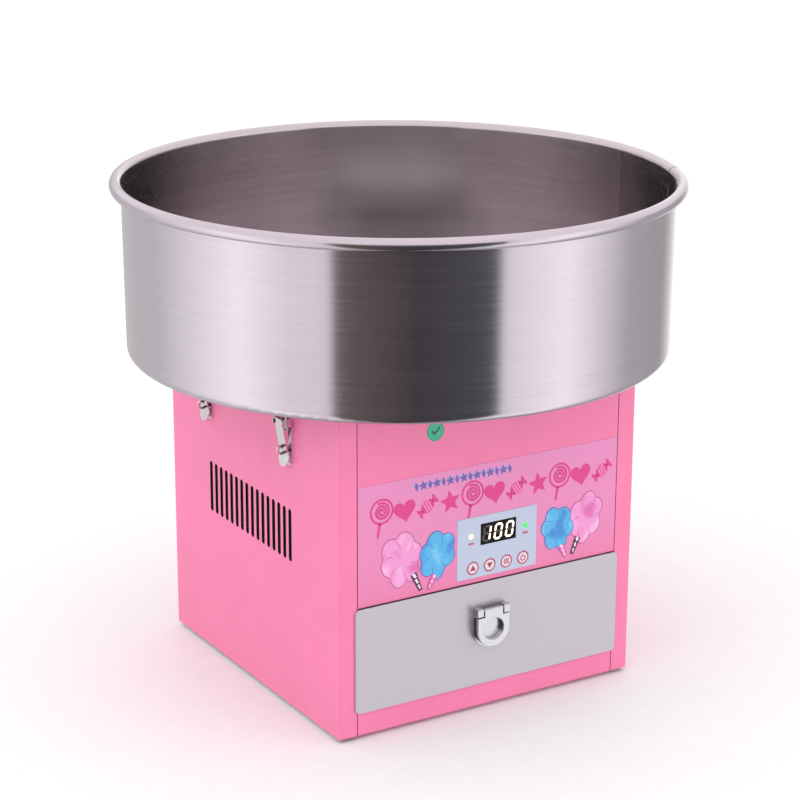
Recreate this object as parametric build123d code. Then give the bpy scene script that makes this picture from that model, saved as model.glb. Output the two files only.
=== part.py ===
"""A counter-top cotton candy machine: a wide stainless bowl on a painted sheet-metal cabinet.

The cabinet holds a motor that turns a heated spinner head inside the bowl, the control and power boards,
and a drawer below them. Four over-centre latches on the cabinet's sides hold the bowl down.

Frame: +Z up, the front faces -Y, the origin is on the counter under the middle of the bowl. Millimetres.
"""
from build123d import *
from math import cos, pi, radians, sin
import os

# ---- driving dimensions -------------------------------------------------------------------------
CABINET_WIDTH = 310.0
CABINET_DEPTH = 316.0
CABINET_HEIGHT = 299.0
SHEET = 1.2
FOOT_HEIGHT = 4.0
FLANGE_WIDTH = 18.0
SEAM_GAP = 0.8
PANEL_BEND_RADIUS = 1.5

BOWL_RIM_RADIUS = 260.0
BOWL_RIM_TOP = 463.0
BOWL_SHEET = 1.0
BOWL_WALL_RADIUS_LOW = 248.4
BOWL_WALL_RADIUS_HIGH = 249.7
BOWL_BEND_RADIUS = 6.6
BOWL_ROLL_RADIUS = 5.65
BOWL_HOLE_RADIUS = 80.0
BOWL_COLLAR_HEIGHT = 11.0
BOWL_PAN_TOP = 318.0
BOWL_WALL_TOP = 448.0

DRAWER_FRONT_WIDTH = 279.0
DRAWER_FRONT_LOW = 25.0
DRAWER_FRONT_HIGH = 123.0
DRAWER_FRONT_THICKNESS = 1.6
DRAWER_OPENING = (131.0, 30.0, 117.0)      # half width, lowest, highest
DRAWER_BOX = (128.0, 33.0, 113.0, 112.0)   # half width, lowest, highest, rear
DRAWER_SHEET = 1.0

VENT_COUNT = 16
VENT_PITCH = 10.1
VENT_WIDTH = 5.6
VENT_LENGTH = 49.0
VENT_HEIGHT = 167.5
VENT_MIDDLE = 3.4

KEYPAD = (-35.2, 48.8, 128.5, 185.6)       # left, right, lowest, highest
DISPLAY_CENTRE = (8.0, 168.0)
DISPLAY_SIZE = (37.6, 19.8)
LED_PLACES = ((-20.8, 168.0), (36.6, 168.0))
LED_RADIUS = 2.5
BUTTON_HEIGHT = 137.8
BUTTON_PLACES = (-18.7, -0.95, 16.8, 34.55)
BUTTON_NAMES = ("button_up", "button_down", "button_heat", "button_run")
BUTTON_RADIUS = 6.2
BUTTON_TRAVEL = 0.4

LATCH_PLACES = {"front": -70.2, "rear": 82.3}

# ---- places worked out from them ----------------------------------------------------------------
HALF_W = CABINET_WIDTH / 2
HALF_D = CABINET_DEPTH / 2
BASE = FOOT_HEIGHT
DECK = BASE + CABINET_HEIGHT
INNER_W = HALF_W - SHEET
FRONT_INNER = -HALF_D + SHEET
REAR_INNER = HALF_D - SHEET
REAR_FLANGE = REAR_INNER - SHEET
FIT_GAP = 0.2
SHELF_TOP = 123.2
SHELF_LOW = SHELF_TOP - SHEET


# ---- small helpers ------------------------------------------------------------------------------
def block(x0, x1, y0, y1, z0, z1):
    """A box between two opposite corners."""
    middle = Pos((x0 + x1) / 2, (y0 + y1) / 2, (z0 + z1) / 2)
    return middle * Box(x1 - x0, y1 - y0, z1 - z0)


def rod_z(radius, z0, z1, x=0.0, y=0.0):
    """An upright cylinder."""
    return Pos(x, y, (z0 + z1) / 2) * Cylinder(radius, z1 - z0)


def rod_x(radius, x0, x1, y=0.0, z=0.0):
    """A cylinder along X."""
    return Pos((x0 + x1) / 2, y, z) * Rot(0, 90, 0) * Cylinder(radius, x1 - x0)


def rod_y(radius, y0, y1, x=0.0, z=0.0):
    """A cylinder along Y."""
    return Pos(x, (y0 + y1) / 2, z) * Rot(90, 0, 0) * Cylinder(radius, y1 - y0)


def tube_z(outer, inner, z0, z1, x=0.0, y=0.0):
    """An upright ring."""
    return rod_z(outer, z0, z1, x, y) - rod_z(inner, z0 - 1, z1 + 1, x, y)


def upright_slot(width, length, y0, y1, x, z):
    """A round-ended slot cutter that runs along Y, with its long side upright."""
    straight = length - width
    body = block(x - width / 2, x + width / 2, y0, y1, z - straight / 2, z + straight / 2)
    return body + rod_y(width / 2, y0, y1, x, z - straight / 2) + rod_y(width / 2, y0, y1, x, z + straight / 2)


def side_slot(width, length, x0, x1, y, z):
    """A round-ended slot cutter that runs along X, with its long side upright."""
    straight = length - width
    body = block(x0, x1, y - width / 2, y + width / 2, z - straight / 2, z + straight / 2)
    return body + rod_x(width / 2, x0, x1, y, z - straight / 2) + rod_x(width / 2, x0, x1, y, z + straight / 2)


def revolved(points):
    """A solid of revolution about Z from (radius, height) corners."""
    outline = Polyline(*[(r, 0, z) for r, z in points], close=True)
    return revolve(make_face(outline), Axis.Z)


def hex_nut(across_flats, bore, z0, z1, x, y):
    """A hexagonal nut with a plain bore."""
    outline = Pos(x, y, z0) * RegularPolygon(across_flats / 2, 6, major_radius=False)
    return extrude(outline, z1 - z0) - rod_z(bore, z0 - 1, z1 + 1, x, y)


def around(count, radius, phase=0.0):
    """Evenly spaced places on a circle."""
    turns = [phase + 2 * pi * i / count for i in range(count)]
    return [(radius * cos(a), radius * sin(a)) for a in turns]


def mirrored(shape):
    """The same shape on the other side of the machine."""
    return mirror(shape, Plane.YZ)


# ---- cabinet ------------------------------------------------------------------------------------
LATCH_RIVET_HEIGHTS = (238.6, 285.0)
LATCH_RIVET_OFFSET = 5.2
LATCH_RIVET_RADIUS = 1.6
RIVET_GAP = 0.1
REAR_SCREW_X = 148.0
REAR_SCREW_HEIGHTS = (24.0, 108.0, 200.0, 284.0)
REAR_SCREW_RADIUS = 1.9
SCREW_GAP = 0.15


def left_side_panel():
    """Side wall with a folded front flange, its return lip, and a rear flange for the back panel."""
    wall = block(-HALF_W, -INNER_W, -HALF_D, REAR_INNER, BASE, DECK)
    front_flange = block(-HALF_W, -HALF_W + FLANGE_WIDTH, -HALF_D, FRONT_INNER, BASE, DECK)
    lip_x = -HALF_W + FLANGE_WIDTH
    lip = block(lip_x - SHEET, lip_x, -HALF_D, -HALF_D + 11, BASE, DECK)
    rear_flange = block(-HALF_W, -HALF_W + 14, REAR_FLANGE, REAR_INNER, BASE, DECK)
    panel = wall + front_flange + lip + rear_flange
    corner = panel.edges().filter_by(Axis.Z).filter_by(
        lambda e: abs(e.center().X + HALF_W) < 0.01 and abs(e.center().Y + HALF_D) < 0.01
    )
    panel = fillet(corner, PANEL_BEND_RADIUS)
    first = VENT_MIDDLE - VENT_PITCH * (VENT_COUNT - 1) / 2
    vents = [
        side_slot(VENT_WIDTH, VENT_LENGTH, -HALF_W - 1, -INNER_W + 1, first + VENT_PITCH * i, VENT_HEIGHT)
        for i in range(VENT_COUNT)
    ]
    rivets = [
        rod_x(LATCH_RIVET_RADIUS + RIVET_GAP, -HALF_W - 1, -INNER_W + 1, y + side * LATCH_RIVET_OFFSET, z)
        for y in LATCH_PLACES.values() for z in LATCH_RIVET_HEIGHTS for side in (-1, 1)
    ]
    screws = [
        rod_y(REAR_SCREW_RADIUS + SCREW_GAP, REAR_FLANGE - 1, REAR_INNER + 1, -REAR_SCREW_X, z)
        for z in REAR_SCREW_HEIGHTS
    ]
    return panel - vents - rivets - screws


INLET_CENTRE = (100.0, 158.0)
INLET_OPENING = (27.0, 20.0)
ROCKER_CENTRE = (55.0, 158.0)
ROCKER_OPENING = (13.0, 19.4)
REAR_VENT_COUNT = 18


def rear_panel():
    """Flat back wall with a vent bank, the mains openings and its screw holes."""
    panel = block(-HALF_W, HALF_W, REAR_INNER, HALF_D, BASE, DECK)
    edges = panel.edges().filter_by(Axis.Z).filter_by(lambda e: e.center().Y > HALF_D - 0.01)
    panel = fillet(edges, 0.8)
    deep = (REAR_INNER - 1, HALF_D + 1)
    first = -VENT_PITCH * (REAR_VENT_COUNT - 1) / 2
    vents = [
        upright_slot(VENT_WIDTH, VENT_LENGTH, *deep, first + VENT_PITCH * i, VENT_HEIGHT + 70)
        for i in range(REAR_VENT_COUNT)
    ]
    screws = [
        rod_y(REAR_SCREW_RADIUS + SCREW_GAP, *deep, side * REAR_SCREW_X, z)
        for side in (-1, 1) for z in REAR_SCREW_HEIGHTS
    ]
    openings = [
        block(cx - w / 2, cx + w / 2, *deep, cz - h / 2, cz + h / 2)
        for (cx, cz), (w, h) in ((INLET_CENTRE, INLET_OPENING), (ROCKER_CENTRE, ROCKER_OPENING))
    ]
    return panel - vents - screws - openings


BUTTON_STEM_RADIUS = 2.0


def front_panel():
    """Front fascia between the flanges, with the drawer opening and the control openings."""
    edge = HALF_W - FLANGE_WIDTH - SEAM_GAP
    face = block(-edge, edge, -HALF_D, FRONT_INNER, BASE, DECK)
    lips = [
        block(-edge, -edge + SHEET, -HALF_D, -HALF_D + 11, BASE, DECK),
        block(edge - SHEET, edge, -HALF_D, -HALF_D + 11, BASE, DECK),
        block(-edge, edge, -HALF_D, -HALF_D + 11, BASE, BASE + SHEET),
        block(-edge, edge, -HALF_D, -HALF_D + 11, DECK - SHEET, DECK),
    ]
    deep = (-HALF_D - 1, FRONT_INNER + 1)
    half, low, high = DRAWER_OPENING
    drawer = block(-half, half, *deep, low, high)
    cx, cz = DISPLAY_CENTRE
    w, h = DISPLAY_SIZE
    display = block(cx - w / 2 - 0.4, cx + w / 2 + 0.4, *deep, cz - h / 2 - 0.4, cz + h / 2 + 0.4)
    lights = [rod_y(LED_RADIUS + 0.2, *deep, x, z) for x, z in LED_PLACES]
    keys = [rod_y(BUTTON_STEM_RADIUS + 0.3, *deep, x, BUTTON_HEIGHT) for x in BUTTON_PLACES]
    return (face + lips) - drawer - display - lights - keys


SHAFT_OPENING_RADIUS = 33.0
STANDOFF_X = 50.0
STANDOFF_Y = 40.0
STANDOFF_PLACES = [(sx * STANDOFF_X, sy * STANDOFF_Y) for sx in (-1, 1) for sy in (-1, 1)]


def pan(x_half, y0, y1, z0, z1, lip, lip_up):
    """A folded tray: a flat sheet with a lip on all four sides."""
    sheet = block(-x_half, x_half, y0, y1, z0, z1)
    low, high = (z0, z1 + lip) if lip_up else (z0 - lip, z1)
    sides = [
        block(-x_half, -x_half + SHEET, y0, y1, low, high),
        block(x_half - SHEET, x_half, y0, y1, low, high),
        block(-x_half, x_half, y0, y0 + SHEET, low, high),
        block(-x_half, x_half, y1 - SHEET, y1, low, high),
    ]
    return sheet + sides


INNER_FRONT = -HALF_D + 11 + FIT_GAP


def top_plate():
    """The deck that the bowl stands on, folded down on all sides."""
    plate = pan(INNER_W - FIT_GAP, INNER_FRONT, REAR_FLANGE - FIT_GAP, DECK - SHEET, DECK, 13, False)
    return plate - rod_z(SHAFT_OPENING_RADIUS, DECK - 5, DECK + 5)


FOOT_RADIUS = 12.0
FOOT_INSET = 33.0
FOOT_PLACES = [
    (sx * (HALF_W - FOOT_INSET), sy * (HALF_D - FOOT_INSET)) for sx in (-1, 1) for sy in (-1, 1)
]
FOOT_SCREW_RADIUS = 2.0
FLOOR_LOW = BASE + 1.0


def base_tray():
    """The cabinet's floor, folded up on all sides, with cooling slots and the foot holes."""
    tray = pan(INNER_W - FIT_GAP, INNER_FRONT, REAR_FLANGE - FIT_GAP, FLOOR_LOW, FLOOR_LOW + SHEET, 13, True)
    feet = [rod_z(FOOT_SCREW_RADIUS + SCREW_GAP, 0, 20, x, y) for x, y in FOOT_PLACES]
    slots = [
        block(-60, 60, y - VENT_WIDTH / 2, y + VENT_WIDTH / 2, 0, 20)
        for y in [(i - 3.5) * 14 for i in range(8)]
    ]
    return tray - feet - slots


def equipment_shelf():
    """The sheet between the drawer and the works, folded down at both sides."""
    edge = INNER_W - FIT_GAP
    sheet = block(-edge, edge, INNER_FRONT, REAR_FLANGE - FIT_GAP, SHELF_LOW, SHELF_TOP)
    lips = [
        block(-edge, -edge + SHEET, INNER_FRONT, REAR_FLANGE - FIT_GAP, SHELF_LOW - 4, SHELF_TOP),
        block(edge - SHEET, edge, INNER_FRONT, REAR_FLANGE - FIT_GAP, SHELF_LOW - 4, SHELF_TOP),
    ]
    slots = [block(x - 15, x + 15, 60, 64, SHELF_LOW - 1, SHELF_TOP + 1) for x in (-90, -40)]
    return sheet + lips - slots


def drawer_runners():
    """Left and right rails: a foot on the side wall, a ledge under the drawer and a guide lip beside it."""
    edge = INNER_W - FIT_GAP
    half, low, _, rear = DRAWER_BOX
    ledge_top = low - 0.5
    y0, y1 = INNER_FRONT + 1, rear + 20
    foot = block(-edge, -edge + SHEET, y0, y1, ledge_top - SHEET, ledge_top + 22)
    ledge = block(-edge, -half + 12, y0, y1, ledge_top - SHEET, ledge_top)
    guide = block(-half - 0.8 - SHEET, -half - 0.8, y0, y1, ledge_top - SHEET, ledge_top + 22)
    stop = block(-edge, -half + 12, y1 - SHEET, y1, ledge_top - SHEET, ledge_top + 22)
    left = foot + ledge + guide + stop
    return [left, mirrored(left)]


def rubber_feet():
    """Four round feet, each with a recess for its screw head."""
    made = []
    for x, y in FOOT_PLACES:
        foot = Pos(x, y, FLOOR_LOW / 2) * Cone(FOOT_RADIUS - 1, FOOT_RADIUS, FLOOR_LOW)
        foot -= rod_z(FOOT_SCREW_RADIUS + SCREW_GAP, -1, 10, x, y)
        foot -= rod_z(4.4, -1, 2.6, x, y)
        made.append(foot)
    return made


def foot_fasteners():
    """A screw through each foot and its nut on the tray."""
    made = []
    for x, y in FOOT_PLACES:
        made.append(rod_z(4.1, 0.8, 2.6, x, y) + rod_z(FOOT_SCREW_RADIUS, 2.6, 13, x, y))
        made.append(hex_nut(7, FOOT_SCREW_RADIUS + 0.1, FLOOR_LOW + SHEET, FLOOR_LOW + SHEET + 3.2, x, y))
    return made


def pan_screw_y(x, y_face, z, radius, length):
    """A domed cross-head screw whose head stands on a face that looks along +Y."""
    head = Pos(x, y_face, z) * Rot(-90, 0, 0) * Cylinder(4.0, 2.2, align=(Align.CENTER, Align.CENTER, Align.MIN))
    top = head.edges().filter_by(GeomType.CIRCLE).sort_by(Axis.Y)[-1]
    head = fillet(top, 1.4)
    cross = [
        block(x - 2.2, x + 2.2, y_face + 1.2, y_face + 4, z - 0.45, z + 0.45),
        block(x - 0.45, x + 0.45, y_face + 1.2, y_face + 4, z - 2.2, z + 2.2),
    ]
    return head - cross + rod_y(radius, y_face - length, y_face, x, z)


def rivet_x(side, y, z):
    """A domed rivet through a latch base and the side wall, with its closed end inside."""
    outer = HALF_W + SHEET
    dome = Pos(outer, y, z) * Rot(0, 90, 0) * Cylinder(2.9, 1.3, align=(Align.CENTER, Align.CENTER, Align.MIN))
    dome = fillet(dome.edges().filter_by(GeomType.CIRCLE).sort_by(Axis.X)[-1], 1.1)
    shank = rod_x(LATCH_RIVET_RADIUS, INNER_W - 0.8, outer, y, z)
    tail = rod_x(2.4, INNER_W - 1.6, INNER_W - 0.02, y, z)
    rivet = dome + shank + tail
    return rivet if side > 0 else mirrored(rivet)


def panel_fasteners():
    """The back panel's screws and the latches' rivets."""
    screws = [
        pan_screw_y(side * REAR_SCREW_X, HALF_D, z, REAR_SCREW_RADIUS, 9)
        for side in (-1, 1) for z in REAR_SCREW_HEIGHTS
    ]
    rivets = [
        rivet_x(side, y + across * LATCH_RIVET_OFFSET, z)
        for side in (-1, 1) for y in LATCH_PLACES.values()
        for z in LATCH_RIVET_HEIGHTS for across in (-1, 1)
    ]
    return screws + rivets


# ---- works --------------------------------------------------------------------------------------
SHAFT_RADIUS = 5.0
SHAFT_GAP = 0.05
SHAFT_LOW = 127.0
SHAFT_HIGH = 350.0
MOTOR_PLATE_LOW = 258.0
MOTOR_PLATE_HIGH = 261.0
MOTOR_LOW = 150.0
MOTOR_RADIUS = 42.0
BEARING_RADIUS = 11.0
BEARING_WIDTH = 7.0
ROTOR_RADIUS = 25.0
RING_HEIGHTS = (277.0, 289.0)
RING_RADIUS = 17.0
BRUSH_SIDES = (1, -1)
BRUSH_HALF = 3.0


def shaft_shroud():
    """A spun collar on the deck that keeps sugar out of the shaft opening."""
    outer = SHAFT_OPENING_RADIUS - FIT_GAP
    flange = tube_z(60, outer - SHEET, DECK, DECK + SHEET)
    neck = tube_z(outer, outer - SHEET, DECK - 4, DECK + 19)
    return flange + neck


def motor_plate():
    """The plate that carries the motor, hung from the deck."""
    plate = block(-64, 64, -52, 52, MOTOR_PLATE_LOW, MOTOR_PLATE_HIGH)
    plate = fillet(plate.edges().filter_by(Axis.Z), 8)
    holes = [rod_z(2.6, 250, 270, x, y) for x, y in STANDOFF_PLACES]
    return plate - rod_z(20, 250, 270) - holes


def standoffs():
    """Pillars from the deck down to the motor plate and from the front panel back to the control board."""
    made = []
    for x, y in STANDOFF_PLACES:
        pillar = rod_z(4.5, MOTOR_PLATE_HIGH, DECK - SHEET, x, y)
        stud = rod_z(2.0, MOTOR_PLATE_LOW - 8, MOTOR_PLATE_HIGH, x, y)
        made.append(pillar + stud)
        made.append(hex_nut(7, 2.1, MOTOR_PLATE_LOW - 3.4, MOTOR_PLATE_LOW, x, y))
    for x, z in BOARD_PILLARS:
        made.append(rod_y(2.6, FRONT_INNER, BOARD_FRONT, x, z))
    return made


def motor_housing():
    """The motor's case and stator as one hollow body, with a bearing seat at each end."""
    case = rod_z(MOTOR_RADIUS, MOTOR_LOW, MOTOR_PLATE_LOW - 3)
    flange = rod_z(MOTOR_RADIUS - 6, MOTOR_PLATE_LOW - 4, MOTOR_PLATE_LOW)
    hollow = rod_z(ROTOR_RADIUS + 0.6, MOTOR_LOW + 12, MOTOR_PLATE_LOW - 14)
    seats = [
        rod_z(BEARING_RADIUS, MOTOR_LOW - 1, MOTOR_LOW + BEARING_WIDTH),
        rod_z(BEARING_RADIUS, MOTOR_PLATE_LOW - BEARING_WIDTH, MOTOR_PLATE_LOW + 1),
        rod_z(SHAFT_RADIUS + 2, MOTOR_LOW - 1, MOTOR_PLATE_LOW + 1),
    ]
    fins = [
        Rot(0, 0, 15 * i) * block(MOTOR_RADIUS - 1, MOTOR_RADIUS + 4, -1, 1, MOTOR_LOW + 8, MOTOR_PLATE_LOW - 12)
        for i in range(24)
    ]
    return case + flange + fins - hollow - seats


def shaft_bearings():
    """The two ball bearings as plain rings with running clearance on the shaft."""
    bore = SHAFT_RADIUS + SHAFT_GAP
    return [
        tube_z(BEARING_RADIUS, bore, MOTOR_LOW, MOTOR_LOW + BEARING_WIDTH),
        tube_z(BEARING_RADIUS, bore, MOTOR_PLATE_LOW - BEARING_WIDTH, MOTOR_PLATE_LOW),
    ]


def motor_shaft():
    """The shaft from the cooling fan up to the spinner head, with its end nut."""
    shaft = rod_z(SHAFT_RADIUS, SHAFT_LOW, SHAFT_HIGH)
    nut = extrude(Pos(0, 0, HUB_TOP) * RegularPolygon(8, 6, major_radius=False), 5)
    return shaft + nut


def motor_rotor():
    """The laminated rotor on the shaft."""
    return tube_z(ROTOR_RADIUS, SHAFT_RADIUS, MOTOR_LOW + 18, MOTOR_PLATE_LOW - 20)


def motor_fan():
    """A six-blade cooling fan under the motor."""
    hub = tube_z(9, SHAFT_RADIUS, SHAFT_LOW + 1, SHAFT_LOW + 15)
    blade = Pos(21, 0, SHAFT_LOW + 8) * Rot(35, 0, 0) * Box(26, 1.4, 12)
    return hub + [Rot(0, 0, 60 * i) * blade for i in range(6)]


def slip_ring_hub():
    """The insulating sleeve that carries the slip rings."""
    sleeve = tube_z(14, SHAFT_RADIUS, 266, 296)
    return sleeve + [tube_z(16, SHAFT_RADIUS, z - 1, z + 1) for z in (267, 283, 295)]


def slip_rings():
    """Two brass rings that feed the heating element."""
    return [tube_z(RING_RADIUS, 14, z - 2.8, z + 2.8) for z in RING_HEIGHTS]


def carbon_brushes():
    """One carbon brush for each ring, shaped to it and just clear of it."""
    made = []
    for side, z in zip(BRUSH_SIDES, RING_HEIGHTS):
        bar = block(RING_RADIUS - 2, 34, -BRUSH_HALF, BRUSH_HALF, z - 2.5, z + 2.5)
        bar -= rod_z(RING_RADIUS + 0.3, z - 5, z + 5)
        made.append(bar if side > 0 else mirrored(bar))
    return made


def brush_holders():
    """Insulating blocks on the motor plate that guide the brushes."""
    made = []
    for side, z in zip(BRUSH_SIDES, RING_HEIGHTS):
        column = block(22, 40, -8, 8, MOTOR_PLATE_HIGH, z + 7)
        column -= block(20, 36, -BRUSH_HALF - 0.1, BRUSH_HALF + 0.1, z - 2.6, z + 2.6)
        made.append(column if side > 0 else mirrored(column))
    return made


# ---- spinner head -------------------------------------------------------------------------------
HEAD_RADIUS = 64.0
HEAD_LOW = 328.0
HUB_TOP = 345.0
BAND_LOW = 333.0
BAND_HIGH = 360.0
BAND_RADIUS = 61.0
BAND_SLOTS = 48
LID_TOP = 365.0
HEAD_SCREW_CIRCLE = 38.0
HEAD_SCREW_RADIUS = 2.0
ELEMENT_FOLDS = 40
ELEMENT_RADII = (50.0, 57.0)
ELEMENT_THICKNESS = 0.9


def head_pan():
    """The cast bottom of the head: hub, dished floor and outer rim."""
    floor = revolved([
        (SHAFT_RADIUS, HEAD_LOW - 2), (11, HEAD_LOW - 2), (12, HEAD_LOW + 1), (HEAD_RADIUS - 6, HEAD_LOW),
        (HEAD_RADIUS, HEAD_LOW + 4), (HEAD_RADIUS, BAND_LOW + 3), (HEAD_RADIUS - 2, BAND_LOW + 3),
        (HEAD_RADIUS - 2, BAND_LOW), (14, BAND_LOW), (11, BAND_LOW + 3), (11, HUB_TOP), (SHAFT_RADIUS, HUB_TOP),
    ])
    holes = [rod_z(HEAD_SCREW_RADIUS + 0.1, 320, 345, x, y) for x, y in around(3, HEAD_SCREW_CIRCLE)]
    return floor - holes


def zigzag(offset):
    """A closed zigzag outline for the folded heating ribbon."""
    inner, outer = ELEMENT_RADII
    corners = []
    for i in range(2 * ELEMENT_FOLDS):
        angle = pi * i / ELEMENT_FOLDS
        radius = (outer if i % 2 else inner) + offset
        corners.append((radius * cos(angle), radius * sin(angle)))
    return make_face(Polyline(*corners, close=True))


def heating_element():
    """The folded heating ribbon behind the slotted band."""
    ribbon = zigzag(ELEMENT_THICKNESS / 2) - zigzag(-ELEMENT_THICKNESS / 2)
    return extrude(Pos(0, 0, BAND_LOW + 3) * ribbon, BAND_HIGH - BAND_LOW - 6)


def mesh_band():
    """The slotted band that the melted sugar leaves through."""
    band = tube_z(BAND_RADIUS, BAND_RADIUS - 0.9, BAND_LOW, BAND_HIGH)
    slots = [
        Rot(0, 0, 360 * i / BAND_SLOTS) * block(BAND_RADIUS - 3, BAND_RADIUS + 3, -1.1, 1.1, BAND_LOW + 5, BAND_HIGH - 4)
        for i in range(BAND_SLOTS)
    ]
    return band - slots


def head_lid():
    """The cast lid with the sugar opening and its funnel collar."""
    lid = revolved([
        (23, LID_TOP), (25, LID_TOP + 1.5), (28, LID_TOP), (HEAD_RADIUS - 3, LID_TOP - 1), (HEAD_RADIUS, LID_TOP - 4),
        (HEAD_RADIUS, BAND_HIGH - 3), (HEAD_RADIUS - 2, BAND_HIGH - 3), (HEAD_RADIUS - 2, BAND_HIGH),
        (27, BAND_HIGH), (25, BAND_HIGH - 7), (23, BAND_HIGH - 7),
    ])
    holes = [rod_z(HEAD_SCREW_RADIUS + 0.1, 350, 375, x, y) for x, y in around(3, HEAD_SCREW_CIRCLE)]
    return lid - holes


def head_screws():
    """Three long screws that clamp the lid to the pan."""
    made = []
    for x, y in around(3, HEAD_SCREW_CIRCLE):
        seat = LID_TOP - 0.1
        head = rod_z(4.2, seat, seat + 2.6, x, y)
        head = fillet(head.edges().filter_by(GeomType.CIRCLE).sort_by(Axis.Z)[-1], 1.2)
        slot = block(x - 5, x + 5, y - 0.6, y + 0.6, seat + 1.5, seat + 4)
        made.append(head - slot + rod_z(HEAD_SCREW_RADIUS, BAND_LOW - 6, seat, x, y))
    return made


# ---- control side -------------------------------------------------------------------------------
OVERLAY_THICKNESS = 0.3
KEYPAD_THICKNESS = 0.5
BOARD_FRONT = -149.0
BOARD_THICKNESS = 1.6
BOARD_EDGES = (-42.0, 58.0, 127.0, 189.0)
BOARD_PILLARS = [(-38, 131.5), (54, 131.5), (-38, 184.5), (54, 184.5)]
GRAPHIC_EDGES = (-135.8, 135.8, 124.2, 234.0)


def graphic_overlay():
    """The printed film on the front panel, cut out round the keypad."""
    x0, x1, z0, z1 = GRAPHIC_EDGES
    kx0, kx1, kz0, kz1 = KEYPAD
    film = block(x0, x1, -HALF_D - OVERLAY_THICKNESS, -HALF_D, z0, z1)
    return film - block(kx0 - 0.15, kx1 + 0.15, -HALF_D - 2, -HALF_D + 2, kz0 - 0.15, kz1 + 0.15)


def keypad_overlay():
    """The keypad's film, with the display window, the lamp holes and the key holes."""
    x0, x1, z0, z1 = KEYPAD
    film = block(x0, x1, -HALF_D - KEYPAD_THICKNESS, -HALF_D, z0, z1)
    deep = (-HALF_D - 2, -HALF_D + 2)
    cx, cz = DISPLAY_CENTRE
    w, h = DISPLAY_SIZE
    window = block(cx - w / 2 - 0.1, cx + w / 2 + 0.1, *deep, cz - h / 2 - 0.1, cz + h / 2 + 0.1)
    lights = [rod_y(LED_RADIUS + 0.1, *deep, x, z) for x, z in LED_PLACES]
    keys = [rod_y(BUTTON_RADIUS + 0.2, *deep, x, BUTTON_HEIGHT) for x in BUTTON_PLACES]
    return film - window - lights - keys


def button(x):
    """A domed key cap with a stem that reaches back to its switch."""
    front = -HALF_D - KEYPAD_THICKNESS - 0.35
    cap = rod_y(BUTTON_RADIUS, front, -HALF_D - BUTTON_TRAVEL - 0.05, x, BUTTON_HEIGHT)
    rim = cap.edges().filter_by(GeomType.CIRCLE).sort_by(Axis.Y)[0]
    cap = fillet(rim, 0.2)
    return cap + rod_y(BUTTON_STEM_RADIUS, front + 0.2, SWITCH_FRONT - BUTTON_TRAVEL - 0.05, x, BUTTON_HEIGHT)


SWITCH_FRONT = BOARD_FRONT - 3.0


def control_board():
    """The circuit board behind the keypad, with its key switches and parts."""
    x0, x1, z0, z1 = BOARD_EDGES
    back = BOARD_FRONT + BOARD_THICKNESS
    board = block(x0, x1, BOARD_FRONT, back, z0, z1)
    switches = [
        block(x - 3, x + 3, SWITCH_FRONT, BOARD_FRONT, BUTTON_HEIGHT - 3, BUTTON_HEIGHT + 3)
        for x in BUTTON_PLACES
    ]
    chips = [
        block(-30, -12, back, back + 3, 150, 158),
        block(0, 30, back, back + 2.4, 136, 144),
        rod_y(4, back, back + 9, 44, 150),
        block(-10, 20, back, back + 7, 176, 184),
    ]
    return board + switches + chips


def display_module():
    """The three-digit display block."""
    cx, cz = DISPLAY_CENTRE
    w, h = DISPLAY_SIZE
    return block(cx - w / 2, cx + w / 2, -HALF_D - KEYPAD_THICKNESS + 0.2, BOARD_FRONT, cz - h / 2, cz + h / 2)


def indicator_leds():
    """Two round lamps beside the display."""
    made = []
    for x, z in LED_PLACES:
        lamp = rod_y(LED_RADIUS, -HALF_D - KEYPAD_THICKNESS - 0.3, BOARD_FRONT, x, z)
        made.append(fillet(lamp.edges().filter_by(GeomType.CIRCLE).sort_by(Axis.Y)[0], 0.6))
    return made


def power_board():
    """The supply board on the shelf, with its transformer, relay, capacitor and heat sink."""
    low = SHELF_TOP + 6
    top = low + 1.6
    board = block(58, 146, 20, 128, low, top)
    legs = [rod_z(3, SHELF_TOP, low, x, y) for x in (63, 141) for y in (25, 123)]
    parts = [
        block(66, 100, 30, 62, top, top + 30),
        block(108, 136, 34, 52, top, top + 18),
        rod_z(9, top, top + 26, 116, 78),
        rod_z(6, top, top + 18, 92, 80),
        block(66, 138, 98, 102, top, top + 34),
    ]
    fins = [block(68 + 10 * i, 70 + 10 * i, 101, 114, top, top + 34) for i in range(7)]
    return board + legs + parts + fins


INLET_DEPTH = 24.0


def power_inlet():
    """A three-pin mains inlet with its flange on the back panel."""
    cx, cz = INLET_CENTRE
    w, h = INLET_OPENING
    flange = block(cx - 25, cx + 25, HALF_D, HALF_D + 3, cz - 14, cz + 14)
    flange = fillet(flange.edges().filter_by(Axis.Y), 5)
    body = block(cx - w / 2 + 0.3, cx + w / 2 - 0.3, HALF_D - INLET_DEPTH, HALF_D + 1, cz - h / 2 + 0.3, cz + h / 2 - 0.3)
    socket = block(cx - 12, cx + 12, HALF_D - INLET_DEPTH + 6, HALF_D + 5, cz - 8, cz + 8)
    socket = chamfer(socket.edges().filter_by(Axis.Y).group_by(Axis.Z)[-1], 4)
    pins = [
        block(cx + dx - 1, cx + dx + 1, HALF_D - INLET_DEPTH + 5, HALF_D - 3, cz + dz - 2, cz + dz + 2)
        for dx, dz in ((-7, -1), (0, 3), (7, -1))
    ]
    screws = [rod_y(1.6, HALF_D - 2, HALF_D + 5, cx + side * 20, cz) for side in (-1, 1)]
    ears = [rod_y(3, HALF_D + 3, HALF_D + 4.2, cx + side * 20, cz) for side in (-1, 1)]
    return (flange + body - socket - screws) + pins + ears


ROCKER_PIVOT_Y = HALF_D - 2.0


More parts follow.
